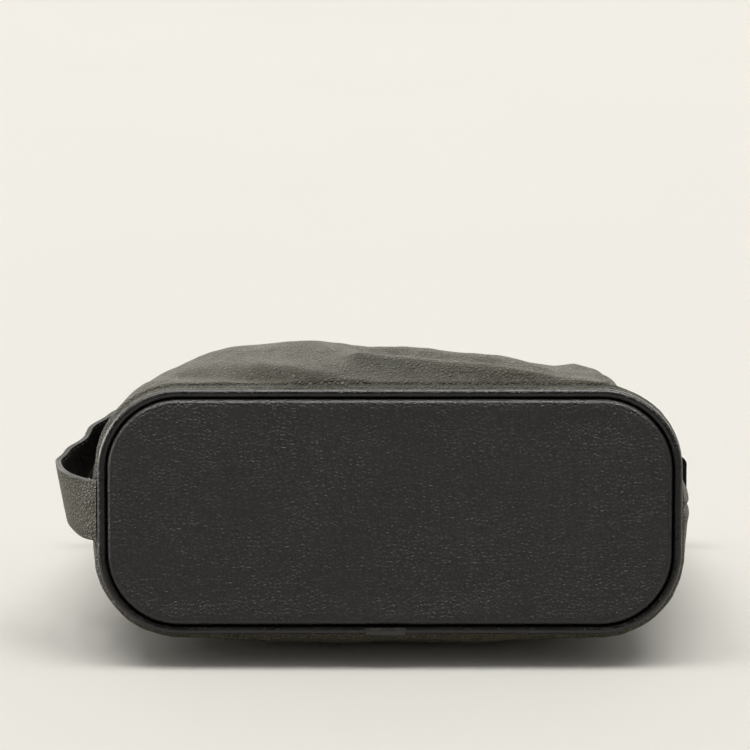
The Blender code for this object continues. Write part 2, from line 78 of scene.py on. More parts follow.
# The bag's frame inside the row frame, from the mount on its base
BASE_MOUNT = next(mount for mount in frame["record"]["mounts"] if mount["name"] == "base_rest")
ORIGIN = np.array(BASE_MOUNT["pos_m"])
UP_AXIS = -np.array(BASE_MOUNT["axis"])
SIDE_AXIS = np.array((1.0, 0.0, 0.0))
AXES = np.array((SIDE_AXIS, np.cross(UP_AXIS, SIDE_AXIS), UP_AXIS))

# Dimensions shared with the CAD, in millimetres
BASE_HALF_LENGTH = 135.0
BASE_HALF_DEPTH = 57.0
BASE_CORNER_RADIUS = 38.0
BAG_HEIGHT = 165.0
LEATHER = 1.4
LINING = 0.6
GAP = 0.3
PIPING_INSET = 2.2
PIPING_LIFT = 3.9
PIPING_RADIUS = 2.15
ZIP_LEVEL = 163.1
ZIP_HALF_LENGTH = 120.0
SLIDER_CENTRE = 112.0
PULLER_LEVEL = 169.2
END_TAB_START = 124.0
END_TAB_END = 154.0
STRAP_HALF_WIDTH = 14.0

# The body's form: height, half length, depth in front and behind, and roundness, from boxy 0 to oval 1
STATIONS = (
    (6.5, 134.2, 56.2, 56.2, 0.0),
    (12.5, 137.0, 60.2, 60.8, 0.07),
    (22.0, 139.5, 65.6, 64.4, 0.25),
    (38.0, 141.5, 70.5, 66.4, 0.50),
    (60.0, 143.0, 73.0, 64.0, 0.70),
    (88.0, 143.0, 68.5, 57.5, 0.85),
    (115.0, 142.0, 56.0, 47.0, 0.85),
    (138.0, 140.5, 38.5, 32.5, 0.60),
    (153.0, 139.3, 24.0, 20.5, 0.30),
    (161.5, 138.4, 13.0, 12.0, 0.10),
    (BAG_HEIGHT, 138.0, 6.4, 6.4, 0.0),
)
ROWS_PER_STATION = (16, 9, 13, 17, 22, 22, 20, 14, 12, 7)
SEAM_COLUMNS = 128

# The front swings open by this diagonal coordinate, height less slope times distance from the middle
MOUTH_SLOPE = 0.858
MOUTH_START = 62.0
MOUTH_END = 165.0

# Stitching
STITCH_PITCH = 2.7
STITCH_LENGTH = 2.05
STITCH_RADIUS = 0.3
STITCH_SINK = 0.12
HEM_HEIGHT = 9.9
ZIP_STITCH_HEIGHT = BAG_HEIGHT - 4.2

# Folds of the body's leather: a path of X, Z points, the fold's width, and how far it lifts the leather
FRONT_FOLDS = (
    (((99, 9), (78, 14.5), (58, 18.5), (26, 24), (-14, 33)), 5.5, 2.4),
    (((104, 26), (84, 29), (56, 34), (20, 42), (-12, 52)), 8.0, -3.2),
    (((-96, 26), (-72, 18), (-50, 12)), 7.0, -2.4),
    (((-60, 24), (-38, 15), (-18, 9)), 6.0, 1.6),
    (((-66, 66), (-44, 66)), 27.0, 5.6),
    (((-100, 48), (-88, 60)), 20.0, 1.8),
    (((-18, 66), (20, 62)), 13.0, 0.6),
    (((46, 70), (62, 66), (82, 56)), 17.0, -3.6),
    (((90, 74), (98, 70)), 7.0, 3.2),
    (((88, 44), (106, 40)), 8.0, -3.0),
    (((114, 52), (113, 84)), 6.0, -2.0),
    (((70, 80), (88, 76)), 12.0, 1.2),
    (((-34, 70), (24, 66)), 12.0, -1.4),
    (((115, 20), (124, 40), (128, 75), (120, 104)), 13.0, -7.5),
    (((136, 14), (138, 44)), 11.0, -4.0),
    (((-130, 70), (-112, 96), (-92, 118)), 9.0, -3.0),
    (((-100, 130), (-40, 124), (10, 132)), 8.0, 2.2),
    (((-70, 142), (0, 146), (60, 140)), 6.0, -1.6),
)
BACK_FOLDS = (
    (((-90, 100), (-30, 108), (40, 100)), 9.0, 2.4),
    (((-60, 122), (10, 118), (80, 126)), 8.0, -2.6),
    (((-118, 70), (-104, 96), (-98, 120)), 8.0, -2.4),
    (((112, 66), (104, 94), (108, 122)), 8.0, -2.4),
    (((-20, 140), (40, 136), (96, 142)), 6.0, 1.4),
)


def to_row(points):
    return ORIGIN + (np.asarray(points, float) @ AXES) * MM


def smooth_step(value, low, high):
    share = np.clip((value - low) / (high - low), 0, 1)
    return share * share * (3 - 2 * share)


def hump(value, centre, width):
    return np.exp(-(((value - centre) / width) ** 2))


def unit(vectors):
    return vectors / np.maximum(np.linalg.norm(vectors, axis=-1, keepdims=True), 1e-9)


def field(points, scale, seed, octaves=3):
    """Soft noise at each point, about -1 to 1. Scale is the size of its features in millimetres."""
    flat = np.asarray(points, float).reshape(-1, 3) / scale + seed * 7.31
    values = [noise.fractal(Vector(point), 1.0, 2.0, octaves) for point in flat]
    return np.array(values).reshape(np.shape(points)[:-1])


# ---------------------------------------------------------------- body form


def floor_depth(height):
    """How far behind the bag's axis the floor is, at a height on the bag."""
    lean = math.asin(UP_AXIS[1])
    return (ORIGIN[2] / MM - math.cos(lean) * height) / math.sin(lean)


def station_values(rows):
    """The station values at each row, on a smooth curve through the stations."""
    table = np.array(STATIONS)
    last = len(table) - 1
    low = np.minimum(np.asarray(rows).astype(int), last - 1)
    t = (rows - low)[:, None]
    before, after = np.maximum(low - 1, 0), np.minimum(low + 2, last)
    start_slope = (table[low + 1] - table[before]) / (low + 1 - before)[:, None]
    end_slope = (table[after] - table[low]) / (after - low)[:, None]
    return (
        (2 * t**3 - 3 * t**2 + 1) * table[low]
        + (t**3 - 2 * t**2 + t) * start_slope
        + (3 * t**2 - 2 * t**3) * table[low + 1]
        + (t**3 - t**2) * end_slope
    )


def rounded_quarter(half_length, depth, share):
    """A quarter of a rounded rectangle by arc length: share is 0 at the side seam and 1 at the middle."""
    radius = min(BASE_CORNER_RADIUS, depth)
    side = depth - radius
    travelled = share * (side + math.pi * radius / 2 + half_length - radius)
    angle = np.clip((travelled - side) / radius, 0, math.pi / 2)
    flat = np.maximum(travelled - side - math.pi * radius / 2, 0)
    return (
        half_length - radius + radius * np.cos(angle) - flat,
        np.minimum(travelled, side) + radius * np.sin(angle),
    )


def ellipse_quarter(half_length, depth, share):
    angles = np.linspace(0, math.pi / 2, 65)
    x, y = half_length * np.cos(angles), depth * np.sin(angles)
    travelled = np.concatenate(([0], np.cumsum(np.hypot(np.diff(x), np.diff(y)))))
    angle = np.interp(share * travelled[-1], travelled, angles)
    return half_length * np.cos(angle), depth * np.sin(angle)


def plain_skin(side, rows, across):
    """The body's plain form: side is -1 in front and 1 behind, and across is -1 to 1 from seam to seam."""
    share = 1 - np.abs(across)
    grid = np.zeros((len(rows), len(across), 3))
    for i, (height, half_length, front, back, roundness) in enumerate(station_values(rows)):
        depth = front if side < 0 else back
        boxy = rounded_quarter(half_length, depth, share)
        oval = ellipse_quarter(half_length, depth, share)
        grid[i, :, 0] = np.sign(across) * (boxy[0] + (oval[0] - boxy[0]) * roundness)
        grid[i, :, 1] = boxy[1] + (oval[1] - boxy[1]) * roundness
        if side > 0:
            grid[i, :, 1] = np.minimum(grid[i, :, 1], floor_depth(height))
        grid[i, :, 1] *= side
        grid[i, :, 2] = height
    return grid


def grid_normals(grid):
    """Unit normals of a grid of points, pointing away from the bag's axis."""
    along = np.gradient(grid, axis=1)
    up = np.gradient(grid, axis=0)
    normals = unit(np.cross(along, up))
    middle = np.array((0.0, 0.0, BAG_HEIGHT / 2))
    outward = np.sum(normals * (grid - middle), axis=-1).sum()
    return normals * (1 if outward > 0 else -1)


def path_distance(x, z, path):
    """Distance of points from a line of X, Z points."""
    nearest = np.full(np.shape(x), 1e9)
    for (x0, z0), (x1, z1) in zip(path[:-1], path[1:]):
        dx, dz = x1 - x0, z1 - z0
        share = np.clip(((x - x0) * dx + (z - z0) * dz) / (dx * dx + dz * dz), 0, 1)
        nearest = np.minimum(nearest, np.hypot(x - x0 - share * dx, z - z0 - share * dz))
    return nearest


def fold_height(side, grid, across):
    """How far the folds lift the leather off its plain form."""
    x, z = grid[..., 0], grid[..., 2]
    height = np.zeros(np.shape(x))
    for path, width, lift in FRONT_FOLDS if side < 0 else BACK_FOLDS:
        height += lift * hump(path_distance(x, z, path), 0, width)
    height += 1.3 * field(grid, 46.0, 1 + side) + 0.5 * field(grid, 17.0, 5 + side)
    calm = smooth_step(z, 8.5, 17) * smooth_step(BAG_HEIGHT - z, 3, 22)
    seam = (1 - np.abs(across)) * 180.0
    calm = calm * smooth_step(seam, 1, 16)
    return height * calm


def fine_height(side, grid, across):
    """The hem at the piping, with its row of stitching, and the two side seams."""
    z = grid[..., 2]
    seam = (1 - np.abs(across)) * 180.0
    pucker = 1 + 0.45 * field(grid, 5.5, 11 + side, 2)
    height = -0.55 * hump(z, HEM_HEIGHT, 0.75) * pucker
    height += 0.22 * hump(z, HEM_HEIGHT - 1.9, 1.2) + 0.35 * hump(z, HEM_HEIGHT + 2.1, 1.7) * pucker
    height += -0.9 * smooth_step(7.3 - z, 0, 0.8)
    side_seam = smooth_step(z, 9, 16)
    height += (-1.3 * hump(seam, 0, 1.6) + 0.5 * hump(seam, 4.0, 2.4) * pucker) * side_seam
    height += -0.3 * hump(z, ZIP_STITCH_HEIGHT, 0.8) + 0.25 * hump(z, BAG_HEIGHT - 2.3, 1.3)
    return height


def body_rows():
    rows = [
        station + step / count
        for station, count in enumerate(ROWS_PER_STATION)
        for step in range(count)
    ]
    return np.array(rows + [len(ROWS_PER_STATION)], float)


def body_surface(side, rows, across, fine=True):
    """The body's outer face with its folds: points, normals, and the plain form's normals."""
    grid = plain_skin(side, rows, across)
    normals = grid_normals(grid)
    height = fold_height(side, grid, across)
    height += fine_height(side, grid, across) if fine else 0
    surface = grid + normals * height[..., None]
    if side > 0:
        surface[..., 1] = np.minimum(surface[..., 1], floor_depth(surface[..., 2]))
    return surface, grid_normals(surface), normals


def surface_line(side, row, across):
    """Points and normals on the finished body along a row."""
    rows = np.array((row - 0.04, row, row + 0.04))
    surface, normals, _ = body_surface(side, rows, across)
    return surface[1], normals[1]


# ---------------------------------------------------------------- meshes


def place(piece, rider):
    """Puts a piece on its body; where rider names a joint's two bodies, it only bakes the piece's transform.
    """
    if isinstance(rider, str):
        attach(piece, rider)
    else:
        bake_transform(piece)


def mouth_rider(sign):
    """The blend of the front's left (-1) or right (1) half between the bag and its mouth."""
    slope = np.array((-sign * MOUTH_SLOPE, 0.0, 1.0))
    start = np.array((0.0, 0.0, MOUTH_START))
    end = start + slope * (MOUTH_END - MOUTH_START) / (slope @ slope)
    return "bag", "mouth", tuple(to_row(start)), tuple(to_row(end))


def add_object(name, data):
    item = bpy.data.objects.new(name, data)
    bpy.context.scene.collection.objects.link(item)
    return item


def make_piece(name, points, faces, finish, rider, stands_for=(), normals=None, sharp=35.0):
    """A mesh on its body. Finish is a key of MATERIALS, or several, and the first gives the slot."""
    finishes = [finish] if isinstance(finish, str) else finish
    mesh = bpy.data.meshes.new(name)
    mesh.from_pydata(to_row(points).tolist(), [], [tuple(face) for face in faces])
    mesh.shade_smooth()
    for key in finishes:
        mesh.materials.append(MATERIALS[key])
    if normals is None:
        mesh.set_sharp_from_angle(angle=math.radians(sharp))
    else:
        mesh.normals_split_custom_set((np.asarray(normals) @ AXES).tolist())
    piece = add_object(name, mesh)
    place(piece, rider)
    if stands_for:
        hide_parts(*stands_for)
    return piece


def make_shell(name, outer, inner, normals, finish, rider, stands_for=()):
    """A closed sheet between two grids of points, shaded by the grid's own normals."""
    rows, columns = outer.shape[:2]
    count = rows * columns
    index = np.arange(count).reshape(rows, columns)
    corners = (index[:-1, :-1], index[:-1, 1:], index[1:, 1:], index[1:, :-1])
    quads = np.stack(corners, axis=-1).reshape(-1, 4)
    points = np.concatenate((outer.reshape(-1, 3), inner.reshape(-1, 3)))
    a, b, d = (points[quads[:, k]] for k in (0, 1, 3))
    flat_normals = normals.reshape(-1, 3)
    if np.sum(np.cross(b - a, d - a) * flat_normals[quads[:, 0]]) < 0:
        quads = quads[:, ::-1]
    edge = np.concatenate((index[0, :-1], index[:-1, -1], index[-1, :0:-1], index[:0:-1, 0]))
    after = np.roll(edge, -1)
    rim = np.stack((after, edge, edge + count, after + count), axis=-1)
    p, q, r = (points[rim[:, k]] for k in (0, 1, 3))
    rim_normals = unit(np.cross(q - p, r - p))
    middle = outer.reshape(-1, 3).mean(axis=0)
    if np.sum(rim_normals * (p - middle)) < 0:
        rim, rim_normals = rim[:, ::-1], -rim_normals
    faces = np.concatenate((quads, quads[:, ::-1] + count, rim))
    corner_normals = np.concatenate((
        flat_normals[quads].reshape(-1, 3),
        -flat_normals[quads[:, ::-1]].reshape(-1, 3),
        np.repeat(rim_normals, 4, axis=0),
    ))  # fmt: skip
    return make_piece(name, points, faces, finish, rider, stands_for, corner_normals)


def swept_faces(stations, around, closed=False, capped=True):
    """Faces of a tube of closed sections: stations run along it and each section has around points."""
    faces = []
    for i in range(stations if closed else stations - 1):
        j = (i + 1) % stations
        for k in range(around):
            after = (k + 1) % around
            faces.append((i * around + k, i * around + after, j * around + after, j * around + k))
    if capped and not closed:
        last = (stations - 1) * around
        faces += [tuple(range(around))[::-1], tuple(range(last, last + around))]
    return faces


def make_sweep(name, sections, finish, rider, stands_for=(), closed=False, sharp=50.0):
    stations, around = sections.shape[:2]
    faces = swept_faces(stations, around, closed)
    points = sections.reshape(-1, 3)
    a, b, c = (points[faces[0][k]] for k in (0, 1, 2))
    if np.dot(np.cross(b - a, c - a), a - sections[0].mean(axis=0)) < 0:
        faces = [face[::-1] for face in faces]
    return make_piece(name, points, faces, finish, rider, stands_for, sharp=sharp)


def stitches(name, points, normals, rider, closed=False, pitch=STITCH_PITCH):
    """A row of separate thread stitches along a line of points on a surface."""
    if closed:
        points, normals = (np.concatenate((values, values[:1])) for values in (points, normals))
    steps = np.linalg.norm(np.diff(points, axis=0), axis=1)
    travelled = np.concatenate(([0], np.cumsum(steps)))
    count = max(int(travelled[-1] / pitch), 1)
    places = (np.arange(count) + 0.5) * travelled[-1] / count

    def at(values, distance):
        return np.stack([np.interp(distance, travelled, values[:, k]) for k in range(3)], axis=-1)

    centres, ups = at(points, places), unit(at(normals, places))
    half = STITCH_LENGTH / 2
    after, before = np.minimum(places + half, travelled[-1]), np.maximum(places - half, 0)
    along = unit(at(points, after) - at(points, before))
    beside = unit(np.cross(ups, along))
    ups = np.cross(along, beside)
    sides, rings = 7, 8
    template = []
    for i in range(rings):
        reach = math.cos(math.pi * (i + 0.35) / (rings - 0.3))
        girth = STITCH_RADIUS * (1 - abs(reach) ** 3) ** 0.5
        for j in range(sides):
            turn = 2 * math.pi * j / sides
            bow = 0.22 * (1 - reach * reach) - 0.16
            rise = girth * 0.8 * math.sin(turn) + bow - STITCH_SINK + 0.1
            template.append((reach * half, girth * math.cos(turn), rise))
    template = np.array(template)
    tilt = 0.1 * STITCH_RADIUS
    bodies = (
        centres[:, None]
        + along[:, None] * template[None, :, :1]
        + beside[:, None] * (template[None, :, 1:2] + tilt * template[None, :, :1])
        + ups[:, None] * template[None, :, 2:]
    )
    faces = []
    one = swept_faces(rings, sides)
    for i in range(count):
        faces += [tuple(v + i * rings * sides for v in face) for face in one]
    return make_piece(name, bodies.reshape(-1, 3), faces, "thread", rider, sharp=80.0)


# ---------------------------------------------------------------- material building


class Graph:
    """Builds a material's nodes in code."""

    def __init__(self, name):
        self.material = bpy.data.materials.new(name)
        self.material.use_nodes = True
        self.nodes = self.material.node_tree.nodes
        self.links = self.material.node_tree.links
        self.shader = self.nodes["Principled BSDF"]
        self.place = self.add("ShaderNodeTexCoord").outputs["Object"]

    def feed(self, node, key, value):
        if isinstance(value, bpy.types.NodeSocket):
            self.links.new(value, node.inputs[key])
        else:
            node.inputs[key].default_value = value

    def add(self, kind, inputs=None, **settings):
        node = self.nodes.new(kind)
        for key, value in settings.items():
            setattr(node, key, value)
        for key, value in (inputs or {}).items():
            self.feed(node, key, value)
        return node

    def noise(self, scale, detail=3.0, roughness=0.55, place=None, distortion=0.0):
        inputs = {"Scale": scale, "Detail": detail, "Roughness": roughness, "Distortion": distortion}
        inputs["Vector"] = place or self.place
        return self.add("ShaderNodeTexNoise", inputs).outputs[0]

    def cells(self, scale, place, feature="DISTANCE_TO_EDGE", randomness=1.0):
        inputs = {"Scale": scale, "Vector": place, "Randomness": randomness}
        return self.add("ShaderNodeTexVoronoi", inputs, feature=feature).outputs["Distance"]

    def remap(self, value, low, high, out_low=0.0, out_high=1.0, smooth=True):
        inputs = {"Value": value, "From Min": low, "From Max": high, "To Min": out_low, "To Max": out_high}
        kind = "SMOOTHSTEP" if smooth else "LINEAR"
        return self.add("ShaderNodeMapRange", inputs, interpolation_type=kind).outputs["Result"]

    def maths(self, operation, first, second=0.0):
        return self.add("ShaderNodeMath", {0: first, 1: second}, operation=operation).outputs[0]

    def total(self, *terms):
        """The sum of the terms, each a value or a value with its weight."""
        parts = [self.maths("MULTIPLY", *term) if isinstance(term, tuple) else term for term in terms]
        result = parts[0]
        for part in parts[1:]:
            result = self.maths("ADD", result, part)
        return result

    def mix(self, share, first, second):
        node = self.add("ShaderNodeMix", data_type="RGBA")
        for key, value in ((0, share), (6, first), (7, second)):
            if isinstance(value, tuple):
                value = (*value, 1.0)
            self.feed(node, key, value)
        return node.outputs[2]

    def warped(self, scale, reach):
        """The object coordinates, pushed about by noise."""
        inputs = {"Vector": self.place, "Scale": scale, "Detail": 2.0}
        colour = self.add("ShaderNodeTexNoise", inputs).outputs[1]
        centred = self.add("ShaderNodeVectorMath", {0: colour, 1: (0.5, 0.5, 0.5)}, operation="SUBTRACT")
        moved = self.add("ShaderNodeVectorMath", {0: centred.outputs[0]}, operation="SCALE")
        moved.inputs["Scale"].default_value = reach
        total = self.add("ShaderNodeVectorMath", {0: self.place, 1: moved.outputs[0]}, operation="ADD")
        return total.outputs[0]

    def bump(self, height, distance, strength=1.0, normal=None):
        inputs = {"Height": height, "Distance": distance, "Strength": strength}
        if normal is not None:
            inputs["Normal"] = normal
        return self.add("ShaderNodeBump", inputs).outputs["Normal"]

    def finish(self, colour=None, roughness=None, normal=None, **fixed):
        if colour is not None:
            self.links.new(colour, self.shader.inputs["Base Color"])
        if roughness is not None:
            self.feed(self.shader, "Roughness", roughness)
        if normal is not None:
            self.links.new(normal, self.shader.inputs["Normal"])
        for key, value in fixed.items():
            self.shader.inputs[key.replace("_", " ")].default_value = value
        return self.material


def pebbled_leather(name, painted_crease_shade, crown, grain=560.0, depth=0.00026, gloss=0.0):
    """Grained leather: irregular pebbles parted by creases, in patches of softer and firmer grain. The
    creases are painted darker than the crowns, as painted shade.
    """
    g = Graph(name)
    place = g.warped(420.0, 0.0011)
    pebbles = g.cells(grain, place)
    small = g.cells(grain * 2.1, place)
    patches = g.noise(26.0, 3.0, 0.6)
    softness = g.remap(patches, 0.35, 0.68, 0.12, 0.24)
    groove = g.remap(g.maths("DIVIDE", pebbles, softness), 0.0, 1.0)
    dome = g.remap(pebbles, 0.0, 0.46)
    small_dome = g.remap(small, 0.0, 0.4)
    pores = g.noise(3800.0, 2.0, 0.6)
    swell = g.noise(170.0, 3.0, 0.5)
    height = g.total((groove, 0.2), (dome, 1.0), (small_dome, 0.2), (pores, 0.09), (swell, 0.9))
    firmness = g.remap(g.noise(17.0, 2.0, 0.5), 0.3, 0.7, 0.78, 1.0)
    normal = g.bump(g.maths("MULTIPLY", height, firmness), depth)
    # painted shade: the grain's creases take the darker colour and the pebbles' crowns the lighter one
    shade = g.mix(groove, painted_crease_shade, crown)
    drift = g.remap(g.noise(11.0, 4.0, 0.6), 0.3, 0.7, 0.0, 0.32)
    shade = g.mix(drift, shade, tuple(1.45 * c for c in crown))
    scuff = g.remap(g.noise(70.0, 5.0, 0.75, distortion=1.2), 0.66, 0.74, 0.0, 0.22)
    shade = g.mix(scuff, shade, tuple(2.6 * c for c in crown))
    roughness = g.remap(groove, 0.0, 1.0, 0.66 - gloss, 0.5 - gloss, smooth=False)
    roughness = g.total(roughness, g.remap(g.noise(60.0, 4.0, 0.6), 0.3, 0.7, -0.05, 0.07))
    return g.finish(shade, roughness, normal, Specular_IOR_Level=0.5)


def smooth_leather(name, dark, light, rough=0.4, wrinkle=0.00012):
    """Plain finished leather with fine creases, painted darker as shade, and a soft wax bloom."""
    g = Graph(name)
    place = g.warped(160.0, 0.004)
    creases = g.cells(340.0, place)
    groove = g.remap(creases, 0.0, 0.07)
    height = g.total((groove, 0.5), (g.noise(1500.0, 3.0, 0.65), 0.5), (g.noise(240.0, 2.0, 0.5), 1.4))
    normal = g.bump(height, wrinkle)
    shade = g.mix(g.remap(g.noise(36.0, 4.0, 0.65), 0.3, 0.7), dark, light)
    # painted shade: the fine creases are darkened towards half the dark colour
    shade = g.mix(g.remap(groove, 0.0, 1.0, 0.25, 0.0), shade, tuple(0.5 * c for c in dark))
    roughness = g.remap(g.noise(90.0, 4.0, 0.6), 0.3, 0.7, rough - 0.06, rough + 0.1)
    return g.finish(shade, roughness, normal, Specular_IOR_Level=0.5)


def woven(name, dark, light, threads=1500.0, depth=0.00016, rough=0.85, sheen=0.25):
    """Plain weave: two sets of threads that pass over each other, with uneven yarn."""
    g = Graph(name)
    parts = g.add("ShaderNodeSeparateXYZ", {"Vector": g.warped(90.0, 0.0006)}).outputs
    cross = g.total(parts[1], parts[2])
    warp = g.maths("SINE", g.maths("MULTIPLY", parts[0], threads * math.pi))
    weft = g.maths("SINE", g.maths("MULTIPLY", cross, threads * math.pi))
    weave = g.maths("MULTIPLY", warp, weft)
    ribs = g.maths("MAXIMUM", g.maths("ABSOLUTE", warp), g.maths("ABSOLUTE", weft))
    height = g.total((weave, 0.5), ribs, (g.noise(700.0, 3.0, 0.6), 0.8))
    shade = g.mix(g.remap(weave, -1.0, 1.0), dark, light)
    shade = g.mix(g.remap(g.noise(30.0, 4.0, 0.6), 0.35, 0.7, 0.0, 0.4), shade, tuple(0.7 * c for c in dark))
    normal = g.bump(height, depth)
    roughness = g.remap(weave, -1.0, 1.0, rough + 0.08, rough - 0.06)
    return g.finish(shade, roughness, normal, Sheen_Weight=sheen, Sheen_Roughness=0.5)


def moulded_plastic(name, dark, light, rough):
    g = Graph(name)
    speck = g.noise(1900.0, 3.0, 0.6)
    shade = g.mix(g.remap(g.noise(130.0, 4.0, 0.6), 0.3, 0.7), dark, light)
    roughness = g.remap(g.noise(300.0, 4.0, 0.6), 0.3, 0.7, rough - 0.07, rough + 0.1)
    return g.finish(shade, roughness, g.bump(speck, 0.00004))


def worn_metal(name, colour, rough):
    """Plated metal with fine brush marks, tiny scratches and duller patches."""
    g = Graph(name)
    stretch = g.add("ShaderNodeMapping", {"Vector": g.place, "Scale": (0.08, 1.0, 1.0)}).outputs[0]
    brush = g.noise(5200.0, 3.0, 0.7, place=stretch)
    scratch = g.remap(g.noise(420.0, 6.0, 0.8, distortion=2.2), 0.62, 0.66)
    haze = g.remap(g.noise(140.0, 4.0, 0.6), 0.35, 0.7)
    shade = g.mix(g.maths("MULTIPLY", haze, 0.45), colour, tuple(0.62 * c for c in colour))
    height = g.total((brush, 0.4), (scratch, -0.5))
    roughness = g.total(g.remap(haze, 0.0, 1.0, rough, rough + 0.2), (scratch, 0.12))
    return g.finish(shade, roughness, g.bump(height, 0.00003), Metallic=1.0)


def soft_filler(name, dark, light, scale, depth, rough=0.95):
    """Foam, board or cord: a rough matt body with open pores or fibres."""
    g = Graph(name)
    pores = g.cells(scale, g.warped(scale * 0.4, 0.5 / scale), feature="F1")
    fibres = g.noise(scale * 2.5, 5.0, 0.7, distortion=1.0)
    shade = g.mix(g.remap(pores, 0.1, 0.75), dark, light)
    shade = g.mix(g.remap(fibres, 0.35, 0.7, 0.0, 0.5), shade, tuple(0.7 * c for c in dark))
    return g.finish(shade, rough, g.bump(g.total(pores, (fibres, 0.7)), depth))


def twisted_thread(name, dark, light):
    g = Graph(name)
    parts = g.add("ShaderNodeSeparateXYZ", {"Vector": g.place}).outputs
    plies = g.maths("SINE", g.maths("MULTIPLY", g.total(*parts), 9000.0))
    height = g.total(plies, (g.noise(5000.0, 2.0, 0.6), 0.6))
    shade = g.mix(g.remap(plies, -1.0, 1.0), dark, light)
    shade = g.mix(g.remap(g.noise(120.0, 3.0, 0.6), 0.4, 0.7, 0.0, 0.6), shade, tuple(1.5 * c for c in light))
    return g.finish(shade, 0.6, g.bump(height, 0.00004), Sheen_Weight=0.2, Sheen_Roughness=0.4)


def floor_material():
    g = Graph("studio_floor")
    shade = g.mix(g.noise(3.0, 3.0, 0.5), (0.80, 0.785, 0.745), (0.83, 0.815, 0.775))
    return g.finish(shade, 0.9, g.bump(g.noise(900.0, 2.0, 0.5), 0.00004), Specular_IOR_Level=0.15)


# Each finish's maker, and its material's name, darker and lighter colour, and settings in the maker's order.
# In the pebbled leathers the darker colour is painted shade in the grain's creases.
FINISHES = {
    "base": (
        pebbled_leather, "base_leather",
        (0.0036, 0.0026, 0.0028), (0.0088, 0.0066, 0.0069), 520.0, 0.00027, 0.0,
    ),
    "base_edge": (
        pebbled_leather, "base_leather_edge",
        (0.0042, 0.0031, 0.0033), (0.0088, 0.0066, 0.0069), 520.0, 0.00014, 0.15,
    ),
    # painted sheen: the body's leather is painted lighter and more olive than the base's black leather, for
    # the glare of the lights at grazing angles
    "panel": (
        pebbled_leather, "pebbled_leather_body_painted_sheen",
        (0.026, 0.0240, 0.0140), (0.074, 0.068, 0.040), 560.0, 0.0009,
    ),
    # painted sheen: the strap's leather is painted lighter still, for the glare of the light on its left
    "strap": (
        pebbled_leather, "pebbled_leather_strap_painted_sheen",
        (0.032, 0.029, 0.018), (0.104, 0.096, 0.060), 600.0, 0.0012,
    ),
    "smooth": (smooth_leather, "smooth_leather", (0.0050, 0.0044, 0.0042), (0.0085, 0.0076, 0.0072), 0.27),
    "cover": (smooth_leather, "joint_cover_leather", (0.020, 0.018, 0.017), (0.034, 0.031, 0.029), 0.34),
    "edge": (smooth_leather, "edge_paint", (0.030, 0.028, 0.025), (0.052, 0.049, 0.043), 0.42, 0.00008),
    "lining": (woven, "lining_fabric", (0.085, 0.072, 0.060), (0.135, 0.118, 0.10)),
    "tape": (woven, "zip_tape", (0.006, 0.006, 0.0065), (0.016, 0.016, 0.017), 1900.0, 0.0002),
    "teeth": (moulded_plastic, "zip_teeth", (0.010, 0.010, 0.0105), (0.022, 0.022, 0.023), 0.34),
    "metal": (worn_metal, "metal", (0.60, 0.585, 0.56), 0.22),
    "foam": (soft_filler, "foam", (0.42, 0.40, 0.36), (0.62, 0.60, 0.55), 1300.0, 0.0002),
    "board": (soft_filler, "board", (0.22, 0.17, 0.11), (0.36, 0.29, 0.21), 700.0, 0.00012),
    "cord": (soft_filler, "cord", (0.45, 0.41, 0.34), (0.66, 0.62, 0.54), 1800.0, 0.0002),
    "thread": (twisted_thread, "thread", (0.030, 0.028, 0.025), (0.062, 0.058, 0.050)),
    "floor": (floor_material,),
}  # fmt: skip


def make_materials():
    for finish, (maker, *settings) in FINISHES.items():
        MATERIALS[finish] = maker(*settings)
    MATERIALS["binding"] = MATERIALS["tape"]


# ---------------------------------------------------------------- body pieces


def add_front_halves(name, outer, inner, normals, finish, node):
    """A front sheet in two halves, left and right. The right half stands for both CAD nodes."""
    middle = outer.shape[1] // 2
    for sign, side, part in ((-1, "left", slice(0, middle + 1)), (1, "right", slice(middle, None))):
        sheets = (grid[:, part] for grid in (outer, inner, normals))
        stands_for = [f"{node}_upper", f"{node}_lower"] if sign > 0 else []
        make_shell(f"{name}_{side}", *sheets, finish, mouth_rider(sign), stands_for)


def add_skin():
    """The leather of the front, in two halves, and of the back."""
    rows = body_rows()
    across = np.linspace(-1, 1, 2 * SEAM_COLUMNS + 1)
    for side in (-1, 1):
        outer, normals, plain = body_surface(side, rows, across)
        height = np.sum((outer - plain_skin(side, rows, across)) * plain, axis=-1)
        inner = plain_skin(side, rows, across) + plain * (np.minimum(height, 0) - LEATHER)[..., None]
        # The panel finish is painted lighter than the base, as painted sheen.
        if side > 0:
            make_shell("back_leather", outer, inner, normals, "panel", "bag", ["back_panel"])
        else:
            add_front_halves("front_leather", outer, inner, normals, "panel", "front_panel")


def lined_surface(side, rows, across, inset):
    """The body's form at an inset below the leather's outer face, following its folds where they dip."""
    grid = plain_skin(side, rows, across)
    normals = grid_normals(grid)
    height = np.minimum(fold_height(side, grid, across), 0) - inset
    return grid + normals * height[..., None], normals


def add_lining():
    rows = np.concatenate((np.linspace(0.4, 1, 4), np.linspace(1.2, 8.5, 60)))
    across = np.linspace(-0.9985, 0.9985, 97)
    for side in (-1, 1):
        outer, normals = lined_surface(side, rows, across, LEATHER + GAP)
        inner, _ = lined_surface(side, rows, across, LEATHER + GAP + LINING)
        if side > 0:
            make_shell("lining_back_cloth", outer, inner, normals, "lining", "bag", ["lining_back"])
        else:
            add_front_halves("lining_front", outer, inner, normals, "lining", "lining_front")


